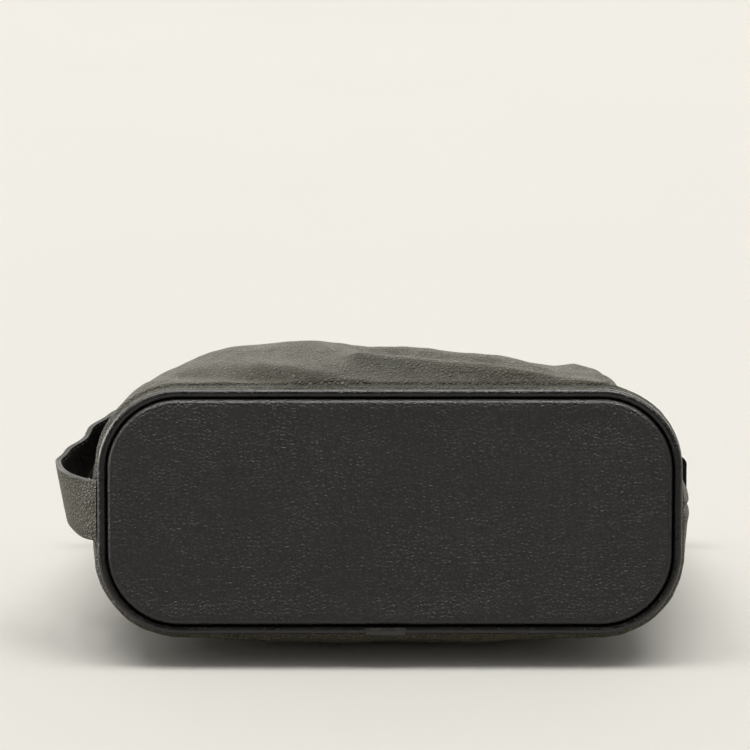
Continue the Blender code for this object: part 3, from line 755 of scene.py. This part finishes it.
def add_pocket():
    """The slip pocket on the back lining, its bound top edge, and the bound side seams."""
    inset = LEATHER + LINING + 2 * GAP
    across = np.linspace(-0.62, 0.62, 73)
    sag = 0.5 + 0.5 * np.cos(across / 0.62 * math.pi)
    pieces = (
        ("pocket_cloth", "inner_pocket", np.linspace(2, 6, 33), 0.6, 0.0, "lining"),
        ("pocket_binding", "inner_pocket_binding", np.linspace(6.0, 6.3, 7), 1.2, 0.9, "smooth"),
    )
    for name, node, rows, thickness, stand, finish in pieces:
        share = np.clip((rows - 2) / 4, 0, 1)[:, None] ** 2 * sag[None, :]
        layers = []
        for depth in (inset + stand, inset + stand + thickness):
            grid, normals = lined_surface(1, rows, across, depth)
            layers.append(grid - normals * (2.6 * share)[..., None])
        make_shell(name, *layers, normals, finish, "bag", [node])
    rows = np.linspace(0.5, 8, 48)
    for sign, node in ((-1, "left_seam_binding"), (1, "right_seam_binding")):
        halves = []
        for side in (1, -1):
            across = sign * np.linspace(0.978, 1.0, 6)
            grid = [lined_surface(side, rows, across, depth) for depth in (inset, inset + 0.8)]
            halves.append([layer[0] for layer in grid] + [grid[0][1]])
        joined = [np.concatenate((back, front[:, -2::-1]), axis=1) for back, front in zip(*halves)]
        ripple = 0.25 * np.sin(joined[0][..., 2] * 1.1)[..., None]
        outer, inner = joined[0] - joined[2] * ripple, joined[1] - joined[2] * ripple
        make_shell(f"{node}_tape", outer, inner, joined[2], "binding", "bag", [node])


def row_at(height, first):
    """The row at a height, between a station's row and the next one."""
    rows = np.linspace(first, first + 1, 101)
    return float(np.interp(height, station_values(rows)[:, 0], np.linspace(0, 1, 101))) + first


def add_body_stitches():
    row, top_row = row_at(HEM_HEIGHT, 0), row_at(ZIP_STITCH_HEIGHT, 9)
    across = np.linspace(-0.996, 0.996, 900)
    for side, name in ((-1, "front"), (1, "back")):
        stitches(f"hem_stitches_{name}", *surface_line(side, row, across), "bag")
    for sign, name in ((-1, "left"), (1, "right")):
        line = surface_line(-1, top_row, sign * np.linspace(0.002, 0.985, 450))
        stitches(f"zip_stitches_front_{name}", *line, mouth_rider(sign))
    stitches("zip_stitches_back", *surface_line(1, top_row, np.linspace(-0.985, 0.985, 900)), "bag")


# ---------------------------------------------------------------- base


def outline_frame(count):
    """Even places round the base: the corner centre or straight that each belongs to, and its normal."""
    radius = BASE_CORNER_RADIUS
    reach_x, reach_y = BASE_HALF_LENGTH - radius, BASE_HALF_DEPTH - radius
    arc = math.pi * radius / 2
    lengths = (reach_y, arc, 2 * reach_x, arc, 2 * reach_y, arc, 2 * reach_x, arc, reach_y)
    ends = np.concatenate(([0], np.cumsum(lengths)))
    corners = ((reach_x, reach_y), (-reach_x, reach_y), (-reach_x, -reach_y), (reach_x, -reach_y))
    core, normal = np.zeros((count, 2)), np.zeros((count, 2))
    for i in range(count):
        travelled = ends[-1] * i / count
        part = min(int(np.searchsorted(ends, travelled, side="right")) - 1, 8)
        into = travelled - ends[part]
        turn = math.pi / 2 * (part // 2)
        if part % 2:
            turn += into / radius
            core[i] = corners[part // 2]
        elif part in (0, 8):
            core[i] = (reach_x, into if part == 0 else into - reach_y)
        else:
            share = into / lengths[part]
            start, end = np.array(corners[part // 2 - 1]), np.array(corners[part // 2])
            core[i] = start + (end - start) * share
        normal[i] = (math.cos(turn), math.sin(turn))
    return core, normal


OUTLINE_COUNT = 560
CORE, OUTLINE_NORMAL = outline_frame(OUTLINE_COUNT)


def outline_ring(inset, height):
    """A ring of points round the base. Deep insets close in on the base's long middle line."""
    deep = 30.0
    ring = CORE + OUTLINE_NORMAL * (BASE_CORNER_RADIUS - min(inset, deep))
    if inset > deep:
        spine = np.stack((np.clip(ring[:, 0], -77, 77), np.zeros(len(ring))), axis=-1)
        ring = ring + (spine - ring) * (inset - deep) / (BASE_HALF_DEPTH - deep)
    heights = np.full(len(ring), float(height)) if np.ndim(height) == 0 else height
    return np.column_stack((ring, heights))


def plate_faces(ring_count):
    """A plate of rings: the first and the last are closed across the base's long middle line."""
    around = OUTLINE_COUNT
    faces = swept_faces(ring_count, around, capped=False)
    last = (ring_count - 1) * around
    for k in range(around // 2):
        a, b, c, d = k, k + 1, (around - k - 1) % around, (around - k) % around
        for start, flip in ((0, 1), (last, -1)):
            corners = list(dict.fromkeys((start + a, start + b, start + c, start + d)))[::flip]
            if len(corners) > 2:
                faces.append(tuple(corners))
    return faces


def add_plate(name, section, finish, stands_for, lift=None):
    """A plate with the base's outline. Section runs from its lower middle round its rim to its upper one."""
    rings = np.array([outline_ring(inset, height) for inset, height in section])
    if lift is not None:
        rings[..., 2] += lift(rings, np.array(section))
    faces = plate_faces(len(section))
    return make_piece(name, rings.reshape(-1, 3), faces, finish, "bag", stands_for, sharp=60.0)


def base_lift(rings, section):
    """Soft unevenness of the base's leather over its padding, none at the seam."""
    inset, height = section[:, 0], section[:, 1]
    share = (smooth_step(inset, 6.5, 18) * (height < 1.3))[:, None]
    flat = rings * np.array((1, 1, 0))
    waves = 0.55 * field(flat, 60.0, 21) + 0.16 * field(flat, 14.0, 23)
    edge = (hump(inset, 8.0, 3.0) * (height < 5))[:, None]
    return share * (waves + 0.25) + edge * 0.2 * field(flat, 11.0, 25, 2)


# Sections of the base's plates, as insets from its outline and heights
BASE_CROWN = (
    *((inset, 0.0) for inset in (56.3, 53, 49, 44, 40, 36, 32, 29, 26, 23, 20.5, 18, 16)),
    *((inset, 0.0) for inset in (14, 12.4, 11, 10, 9.2)),
    (8.3, 0.02), (7.7, 0.06), (7.15, 0.13), (6.65, 0.25), (6.2, 0.42), (5.85, 0.65), (5.55, 0.92),
    (5.28, 1.25), (5.06, 1.6), (4.88, 2.05), (4.75, 2.6), (4.66, 3.3), (4.6, 4.2), (4.58, 5.5), (4.58, 7.0),
)  # fmt: skip
BASE_INSIDE = (
    (5.9, 7.0), (5.95, 5.2), (6.2, 4.3), (6.9, 3.4), (8.2, 2.7),
    (10.5, 2.2), (14, 1.9), (24, 1.65), (56.3, 1.55),
)  # fmt: skip
PADDING = ((56.3, 1.75), (30, 1.8), (16, 2.2), (12, 2.6), (10.2, 3.3), (10, 4.0), (12, 4.4), (56.3, 4.4))
BASE_LINING = (
    (56.3, 7.3), (30, 7.3), (6.4, 7.3), (5.3, 7.5),
    (5.3, 7.75), (6.4, 7.95), (30, 7.95), (56.3, 7.95),
)  # fmt: skip


def add_base():
    """The base's leather, its grain finer where the edge is stretched into the seam, and what is under it."""
    finishes = ("base", "base_edge")
    leather = add_plate("base_leather", BASE_CROWN + BASE_INSIDE, finishes, ["base_panel"], base_lift)
    edge_start = next(i for i, (inset, _) in enumerate(BASE_CROWN) if inset <= 7.2)
    for polygon in leather.data.polygons:
        if edge_start <= min(polygon.vertices) // OUTLINE_COUNT < len(BASE_CROWN):
            polygon.material_index = 1
    add_plate("base_foam", PADDING, "foam", ["base_padding"])
    add_plate("base_lining_cloth", BASE_LINING, "lining", ["base_lining"])


def add_piping():
    """The smooth leather piping, creased where it turns the corners, and the cover over its joint."""
    centres = outline_ring(PIPING_INSET, PIPING_LIFT)
    turning = smooth_step(np.abs(OUTLINE_NORMAL).min(axis=1), 0.05, 0.5)
    angles = np.radians(np.linspace(40, 320, 17))
    flange = ((2.5, 1.9), (2.5, 6.1), (1.7, 6.1), (1.7, 2.3))
    sections = []
    ripple = field(centres, 3.2, 31, 2)
    swell = field(centres, 24.0, 33, 2)
    for i, (centre, normal) in enumerate(zip(centres, OUTLINE_NORMAL)):
        inward = -np.array((*normal, 0.0))
        radius = PIPING_RADIUS + 0.06 * swell[i] + 0.05 * turning[i] * ripple[i]
        ring = [
            centre + inward * math.cos(a) * radius + np.array((0, 0, math.sin(a) * radius))
            for a in angles
        ]
        tail = [centre + inward * across + np.array((0, 0, up)) for across, up in flange]
        sections.append(tail + ring)
    make_sweep("piping", np.array(sections), "smooth", "bag", ["piping_leather"], closed=True)
    start, end = -11.5, 7.5
    rings = []
    for x in np.linspace(start, end, 25):
        near_end = min(x - start, end - x)
        thick = 0.25 + 0.55 * (1 - (1 - min(near_end / 0.9, 1)) ** 2) ** 0.5
        wave = 0.06 * math.sin(x * 1.7)
        middle = np.array((x, BASE_HALF_DEPTH - PIPING_INSET, PIPING_LIFT))
        turns = np.radians(np.linspace(128, 292, 15))
        outside, inside = PIPING_RADIUS + 0.2 + thick + wave, PIPING_RADIUS + 0.15
        ring = [
            middle + np.array((0, -math.cos(a), math.sin(a))) * reach
            for reach, sweep in ((outside, turns), (inside, turns[::-1]))
            for a in sweep
        ]
        rings.append(ring)
    make_sweep("piping_cover", np.array(rings), "cover", "bag", ["piping_joint_cover"])


# ---------------------------------------------------------------- strap

# The strap's centreline from the base seam to the side (X, Y, Z), and how far it is turned to lie on the side
STRAP_ROUTE = (
    (-135.0, 0.0, 8.8, 0.0),
    (-139.6, -0.2, 12.2, 0.0),
    (-144.2, -1.0, 16.6, 0.0),
    (-149.0, -2.6, 23.0, 0.0),
    (-152.6, -4.8, 31.0, 0.0),
    (-154.0, -7.4, 41.0, 0.02),
    (-151.8, -12.6, 51.0, 0.3),
    (-147.4, -19.6, 60.0, 0.42),
    (-142.8, -25.6, 69.0, 0.5),
    (-138.4, -30.2, 79.0, 0.7),
    (-133.4, -33.0, 91.0, 0.95),
    (-128.0, -34.5, 105.0, 1.0),
)
STRAP_THICKNESS = 3.0


def smooth_route(points, count):
    """Evenly counted points on a smooth curve through the given ones."""
    table = np.array(points, float)
    padded = np.concatenate((2 * table[:1] - table[1:2], table, 2 * table[-1:] - table[-2:-1]))
    places = np.linspace(0, len(table) - 1, count)
    low = np.minimum(places.astype(int), len(table) - 2)
    t = (places - low)[:, None]
    p0, p1, p2, p3 = (padded[low + k] for k in range(4))
    square, cube = 2 * p0 - 5 * p1 + 4 * p2 - p3, 3 * p1 - p0 - 3 * p2 + p3
    return 0.5 * (2 * p1 + (p2 - p0) * t + square * t**2 + cube * t**3)


def strap_surface(count=150):
    """The strap's centreline, its outward direction, and how much of the free loop each place is in."""
    route = smooth_route(STRAP_ROUTE, count)
    ahead = np.gradient(route[:, :3], axis=0)
    out = unit(np.stack((-ahead[:, 2], ahead[:, 0]), axis=-1))
    share = np.linspace(0, len(STRAP_ROUTE) - 1, count)
    loose = smooth_step(share, 1.0, 3.5) * smooth_step(-share, -9.0, -6.0)
    return route, out, loose


SKIN_ROWS = np.linspace(0, len(STATIONS) - 1, 220)
SKIN_LEVELS = station_values(SKIN_ROWS)[:, 0]


def side_skin(y, z):
    """How far out the plain skin of the bag's left side is at a depth and a height."""
    row = np.interp(z, SKIN_LEVELS, SKIN_ROWS)
    line = plain_skin(-1 if y < 0 else 1, np.array([row]), np.linspace(-1, -0.4, 40))[0]
    return float(np.interp(abs(y), np.abs(line[:, 1]), line[:, 0]))


def strap_point(route, out, loose, share, across, stand):
    """A point of the strap: across runs over its width in millimetres and stand is off its middle layer."""
    upright = smooth_step(share, 4.8, 6.4) * smooth_step(across, -4, 6)
    lean = 2.6 * (loose - 1.3 * loose * upright) * across / STRAP_HALF_WIDTH
    far = smooth_step(share, 4.6, 6.0) * smooth_step(-share, -9.0, -7.4)
    wave = far * 1.3 * math.sin(share * 4.6) * smooth_step(-across, 0, 14)
    turned = route[3] * (0.019 * across - 0.86) * across
    x = route[0] + out[0] * (stand + wave) + lean + turned
    y, z = route[1] + across, route[2] + out[1] * (stand + wave)
    sooner = 1.6 * smooth_step(across, -6, 12)
    hug = smooth_step(share, 7.6 - sooner, 9.6 - sooner)
    if hug > 0:
        x += hug * (side_skin(y, z) - 1.5 - (stand + STRAP_THICKNESS / 2) - x)
    return (x, y, z)


def strap_stitch_line(sign, across):
    route, out, loose = strap_surface(400)
    share = np.linspace(0, len(STRAP_ROUTE) - 1, len(route))
    stand = sign * (STRAP_THICKNESS / 2 - 0.2)
    used = [i for i in range(len(route)) if share[i] > 1.5 and (sign > 0 or share[i] < 8.0)]
    points = np.array([strap_point(route[i], out[i], loose[i], share[i], across, stand) for i in used])
    normals = np.array([(sign * out[i][0], 0, sign * out[i][1]) for i in used])
    return points, normals


def add_strap():
    """The strap as one two-ply band, sewn into the base seam and flat along the side seam."""
    route, out, loose = strap_surface()
    shares = np.linspace(0, len(STRAP_ROUTE) - 1, len(route))
    half, thick = STRAP_HALF_WIDTH, STRAP_THICKNESS / 2
    profile = []
    for y in np.linspace(-half + 0.5, half - 0.5, 29):
        groove = 0.5 * (hump(y, -half + 2.0, 0.55) + hump(y, half - 2.0, 0.55))
        crown = 0.18 * (1 - (y / half) ** 4)
        profile.append((y, thick - groove + crown - 0.1))
    round_edge = [(half - 0.2, thick - 0.22), (half, thick - 0.6), (half - 0.05, 0.25), (half - 0.28, 0.0)]
    edge = round_edge + [(y, -stand) for y, stand in reversed(round_edge[:-1])]
    section = profile + edge + [(-y, -stand) for y, stand in profile] + [(-y, -stand) for y, stand in edge]
    edge_start = len(profile) - 1
    rough = field(route[:, :3], 9.0, 41, 2)
    sections = []
    for i in range(len(route)):
        swell = 1 + 0.05 * rough[i]
        ring = [
            strap_point(route[i], out[i], loose[i], shares[i], y * (1 + 0.004 * rough[i]), stand * swell)
            for y, stand in section
        ]
        sections.append(ring)
    stands_for = ["strap_outer", "strap_lining", "strap_lower_anchor", "strap_upper_anchor"]
    rider = ("bag", "strap", tuple(to_row((-142.0, 0, 0))), tuple(to_row((-150.0, 0, 0))))
    # The outer face's strap leather is painted lighter as painted sheen; the inner face takes the dark smooth
    # leather.
    finishes = ("strap", "edge", "smooth")
    piece = make_sweep("strap_handle", np.array(sections), finishes, rider, stands_for, sharp=55.0)
    around = len(section)
    half_ring = len(profile) + len(edge)
    for polygon in piece.data.polygons:
        if all(half_ring <= v % around < half_ring + len(profile) for v in polygon.vertices):
            polygon.material_index = 2
        places = [v % around % half_ring for v in polygon.vertices]
        if len(places) == 4 and all(p >= edge_start or p == 0 for p in places):
            polygon.material_index = 1
    for sign, face in ((1, "outer"), (-1, "inner")):
        for y, edge_name in ((-half + 2.0, "front"), (half - 2.0, "back")):
            stitches(f"strap_stitches_{face}_{edge_name}", *strap_stitch_line(sign, y), rider)


# ---------------------------------------------------------------- zip

TEETH_PITCH = 2.4
TAB_SEAM_INSET = 1.7
RING_SPACING = 1.2


def add_zip_tape(name, side, start, end, rider, stands_for):
    xs = np.linspace(start, end, int(abs(end - start) / 1.5) + 2)
    section = ((1.9, 0.0), (2.5, 0.45), (3.3, 0.5), (4.2, 0.25), (5.3, 0.0), (7.6, -1.5), (10.2, -3.3))
    ys = np.array([y for y, _ in section])
    rise = np.array([z for _, z in section])
    grid = np.zeros((len(ys), len(xs), 3))
    grid[..., 0] = xs[None, :]
    grid[..., 1] = side * ys[:, None]
    grid[..., 2] = ZIP_LEVEL - 0.1 + rise[:, None]
    inner = grid - np.array((0, 0, 0.7))
    normals = np.zeros_like(grid)
    slope = np.gradient(rise, ys)
    normals[..., 1] = (-side * slope)[:, None]
    normals[..., 2] = 1.0
    make_shell(name, grid, inner, unit(normals), "tape", rider, stands_for)


def add_zip_teeth(name, side, start, end, rider, stands_for):
    """Moulded teeth, each with a narrow neck and a rounded head that reaches between the other side's."""
    outline = ((3.0, 0.62), (2.1, 0.62), (1.5, 0.42), (0.9, 0.5), (0.3, 0.86), (-0.35, 0.8), (-0.6, 0.35))
    outline = [(y, x) for y, x in outline] + [(y, -x) for y, x in outline[::-1]]
    levels = ((-1.15, 0.8), (-0.9, 1.0), (0.9, 1.0), (1.15, 0.8))
    places = np.arange(start + TEETH_PITCH / 2, end, TEETH_PITCH)
    template = np.array([
        (x * share, side * (0.9 + (y - 0.9) * (0.6 + 0.4 * share)), level)
        for level, share in levels
        for y, x in outline
    ])  # fmt: skip
    one = swept_faces(len(levels), len(outline))
    if side > 0:
        one = [face[::-1] for face in one]
    points, faces = [], []
    for i, x in enumerate(places):
        points.append(template + np.array((x + (TEETH_PITCH / 2 if side > 0 else 0), 0, ZIP_LEVEL)))
        faces += [tuple(v + i * len(template) for v in face) for face in one]
    make_piece(name, np.concatenate(points), faces, "teeth", rider, stands_for, sharp=40.0)


def add_zip():
    reach = ZIP_HALF_LENGTH + 6
    add_zip_tape("zip_tape_back_half", 1, -reach, reach, "bag", ["zip_tape_back"])
    start, end = -ZIP_HALF_LENGTH, ZIP_HALF_LENGTH - 1.2
    add_zip_teeth("zip_teeth_back_half", 1, start, end, "bag", ["zip_teeth_back"])
    halves = ((add_zip_tape, "zip_tape_front", reach), (add_zip_teeth, "zip_teeth_front", ZIP_HALF_LENGTH))
    for sign, side_name in ((-1, "left"), (1, "right")):
        for add, node, far in halves:
            name = f"{node}_{side_name}"
            stands_for = [f"{name}_end"] + ([node] if sign > 0 else [])
            add(name, -1, *sorted((0, sign * far)), mouth_rider(sign), stands_for)


def rounded_outline(start, end, half_width, corner, steps=8):
    """A rectangle from start to end along X with rounded corners, as evenly turned points."""
    points = []
    length = abs(end - start)
    middle = (start + end) / 2
    for turn, (sign_x, sign_y) in enumerate(((1, 1), (-1, 1), (-1, -1), (1, -1))):
        for step in range(steps + 1):
            angle = math.pi / 2 * (turn + step / steps)
            x = middle + sign_x * (length / 2 - corner) + corner * math.cos(angle)
            points.append((x, sign_y * (half_width - corner) + corner * math.sin(angle)))
    return densify(np.array(points), RING_SPACING)


def densify(outline, spacing):
    """The outline with points added so that none are further apart than spacing."""
    points = []
    for start, end in zip(outline, np.roll(outline, -1, axis=0)):
        count = max(int(np.linalg.norm(end - start) / spacing), 1)
        points += [start + (end - start) * i / count for i in range(count)]
    return np.array(points)


def outline_normals(outline):
    ahead = np.roll(outline, -1, axis=0) - np.roll(outline, 1, axis=0)
    return unit(np.stack((ahead[:, 1], -ahead[:, 0]), axis=-1))


def slab_sections(outline, low, high, edge, bend):
    """Rings of a slab with rounded edges over an outline. Bend gives the height added at X, Y places."""
    normal = outline_normals(outline)
    turns = np.linspace(0, math.pi / 2, 4)
    rims = [(edge * (1 - math.cos(t)), high - edge * (1 - math.sin(t))) for t in turns]
    rims = [(edge * (1 - math.cos(t)), low + edge * (1 - math.sin(t))) for t in turns[::-1]] + rims
    insets = [(7.0, low), (4.4, low), (2.6, low), (1.7, low)] + rims
    crown = ((1.3, 0.02), (1.7, -0.16), (2.1, 0.02), (2.6, 0.1), (4.4, 0.16), (7.0, 0.16))
    insets += [(inset, high + rise) for inset, rise in crown]
    centre = outline.mean(axis=0)
    rings = []
    for inset, level in insets:
        ring = outline - normal * min(inset, 2.6)
        if inset > 2.6:
            ring = centre + (ring - centre) * (1 - (inset - 2.6) / 5)
        rings.append(np.column_stack((ring, level + bend(ring[:, 0], ring[:, 1]))))
    return np.array(rings)


def add_tab(name, outline, low, high, rider, stands_for, bend):
    """A leather tab with rounded edges and stitching near its edge."""
    rings = slab_sections(outline, low, high, min(0.8, (high - low) * 0.45), bend)
    make_sweep(name, rings, "smooth", rider, stands_for, sharp=60.0)
    line = outline - outline_normals(outline) * TAB_SEAM_INSET
    level = high - 0.12 + bend(line[:, 0], line[:, 1])
    ups = np.tile((0.0, 0.0, 1.0), (len(line), 1))
    stitches(f"{name}_stitches", np.column_stack((line, level)), ups, rider, closed=True, pitch=2.3)


def droop(x, y):
    """The bend of an end tab, down past the end of the bag and to its sides."""
    beyond = np.maximum(np.abs(x) - 138, 0)
    return -0.03 * beyond**2 - 0.006 * y**2 + 0.1 * np.sin(x * 0.4)


def add_tabs():
    for sign, side in ((-1, "left"), (1, "right")):
        outline = rounded_outline(sign * END_TAB_START, sign * END_TAB_END, 10.0, 4.5)
        node = f"zip_end_tab_{side}"
        add_tab(f"{node}_leather", outline, BAG_HEIGHT + 0.7, BAG_HEIGHT + 2.2, "bag", [node], droop)
    near = SLIDER_CENTRE - 11.3
    outline = rounded_outline(near - 25.7, near, 5.5, 2.6)

    def curl(x, y):
        return 0.02 * np.cos(y) * np.maximum(near - x, 0) / 26

    low, high = PULLER_LEVEL - 1.0, PULLER_LEVEL + 1.0
    add_tab("puller_leather", outline, low, high, "puller", ["puller_tab"], curl)


def finish_cad_nodes():
    """The rigid CAD nodes that stay: their edges are eased and they take their finish."""
    kept = {
        "zip_slider": ("metal", 0.35),
        "puller_frame": ("metal", 0.4),
        "zip_stop_left": ("metal", 0.4),
        "zip_stop_right": ("metal", 0.4),
        "base_board": ("board", 0.3),
        "piping_cord": ("cord", 0.0),
    }
    for node, (finish, edge) in kept.items():
        piece = frame["nodes"][node]
        piece.data.materials.clear()
        piece.data.materials.append(MATERIALS[finish])
        if edge:
            bevel = piece.modifiers.new("eased_edges", "BEVEL")
            bevel.width = edge * MM
            bevel.segments = 3
            bevel.limit_method = "ANGLE"
            bevel.angle_limit = math.radians(40)
            bevel.harden_normals = True


# ---------------------------------------------------------------- studio


def circle(radius, height, count=96):
    turns = np.linspace(0, 2 * math.pi, count, endpoint=False)
    return [(radius * math.cos(t), radius * math.sin(t), height) for t in turns]


def add_stage(name, points, faces, material):
    mesh = bpy.data.meshes.new(name)
    mesh.from_pydata(points, [], faces)
    mesh.materials.append(material)
    stage = add_object(name, mesh)
    return stage


def add_floor():
    rings = [circle(radius, 0.0) for radius in (0.4, 0.9, 1.8, 6.0)]
    count = len(rings[0])
    points = [(0.0, 0.0, 0.0)] + sum(rings, [])
    faces = [(0, 1 + k, 1 + (k + 1) % count) for k in range(count)]
    for ring in range(len(rings) - 1):
        start = 1 + ring * count
        for k in range(count):
            after = (k + 1) % count
            faces.append((start + k, start + k + count, start + after + count, start + after))
    add_stage("studio_floor", points, faces, MATERIALS["floor"])


def add_backdrop():
    """A pale wall round the floor, seen only by the camera, so that low views have no horizon."""
    graph = Graph("studio_wall")
    shade = graph.mix(graph.noise(0.4, 2.0, 0.5), (0.79, 0.772, 0.725), (0.82, 0.802, 0.755))
    graph.finish(None, 1.0, Base_Color=(0.0, 0.0, 0.0, 1.0), Specular_IOR_Level=0.0, Emission_Strength=1.0)
    graph.links.new(shade, graph.shader.inputs["Emission Color"])
    rings = [circle(5.8, height) for height in (-0.01, 0.8, 2.0, 4.5)]
    faces = swept_faces(len(rings), len(rings[0]), capped=False)
    wall = add_stage("studio_wall", sum(rings, []), faces, graph.material)
    for rays in ("diffuse", "glossy", "transmission", "shadow"):
        setattr(wall, f"visible_{rays}", False)


def add_card(name, place, size, power, colour):
    """A large soft panel that shows only as a gloss on the leather."""
    data = bpy.data.lights.new(name, "AREA")
    data.shape = "RECTANGLE"
    data.size, data.size_y = size
    data.energy = power
    data.color = colour
    card = add_object(name, data)
    card.location = place
    card.visible_camera = False
    card.visible_diffuse = False
    card.rotation_mode = "QUATERNION"
    card.rotation_quaternion = (Vector((0, 0, 0.08)) - Vector(place)).to_track_quat("-Z", "Y")


def add_lights():
    scene = bpy.context.scene
    world = bpy.data.worlds.new("studio")
    world.use_nodes = True
    nodes, links = world.node_tree.nodes, world.node_tree.links
    direction = nodes.new("ShaderNodeTexCoord").outputs["Generated"]
    parts = nodes.new("ShaderNodeSeparateXYZ")
    links.new(direction, parts.inputs[0])
    level = nodes.new("ShaderNodeMapRange")
    level.interpolation_type = "SMOOTHSTEP"
    limits = {"From Min": -0.6, "From Max": 0.1, "To Min": WORLD_FRONT, "To Max": WORLD_BACK}
    for key, value in limits.items():
        level.inputs[key].default_value = value
    links.new(parts.outputs["Y"], level.inputs["Value"])
    background = nodes["Background"]
    background.inputs["Color"].default_value = WORLD_WARM
    links.new(level.outputs["Result"], background.inputs["Strength"])
    scene.world = world
    for i, tilt in enumerate(TOP_LIGHT_TILTS):
        top = bpy.data.lights.new(f"top_light_{i}", "SUN")
        top.energy = TOP_LIGHT
        top.angle = math.radians(TOP_LIGHT_SPREAD)
        top.color = WARM
        lamp = add_object(f"top_light_{i}", top)
        lamp.rotation_euler = (math.radians(-3), math.radians(tilt), 0)
    for card in CARDS:
        add_card(*card)
    scene.view_settings.view_transform = "Standard"
    scene.view_settings.look = "None"


def add_camera():
    """The camera looks down at the base from a little above, and aims above it and to its left."""
    distance, elevation, sideways = 1.312, math.radians(19), -0.0078
    pitch, yaw = math.radians(2.769), math.radians(0.316)
    data = bpy.data.cameras.new("camera")
    data.lens = 136.7
    data.sensor_width = 36.0
    data.clip_start, data.clip_end = 0.01, 50.0
    camera = add_object("camera", data)
    reach = distance * math.cos(elevation)
    camera.location = Vector(ORIGIN) + Vector((sideways, -reach, distance * math.sin(elevation)))
    turn = Matrix.Rotation(yaw - math.atan2(-sideways, reach), 4, "Z")
    tip = Matrix.Rotation(math.pi / 2 - elevation + pitch, 4, "X")
    camera.rotation_euler = (turn @ tip).to_euler()
    bpy.context.scene.camera = camera


def build():
    add_camera()
    make_materials()
    add_skin()
    add_lining()
    add_pocket()
    add_body_stitches()
    add_base()
    add_piping()
    add_strap()
    add_zip()
    add_tabs()
    finish_cad_nodes()
    add_floor()
    add_backdrop()
    add_lights()


build()
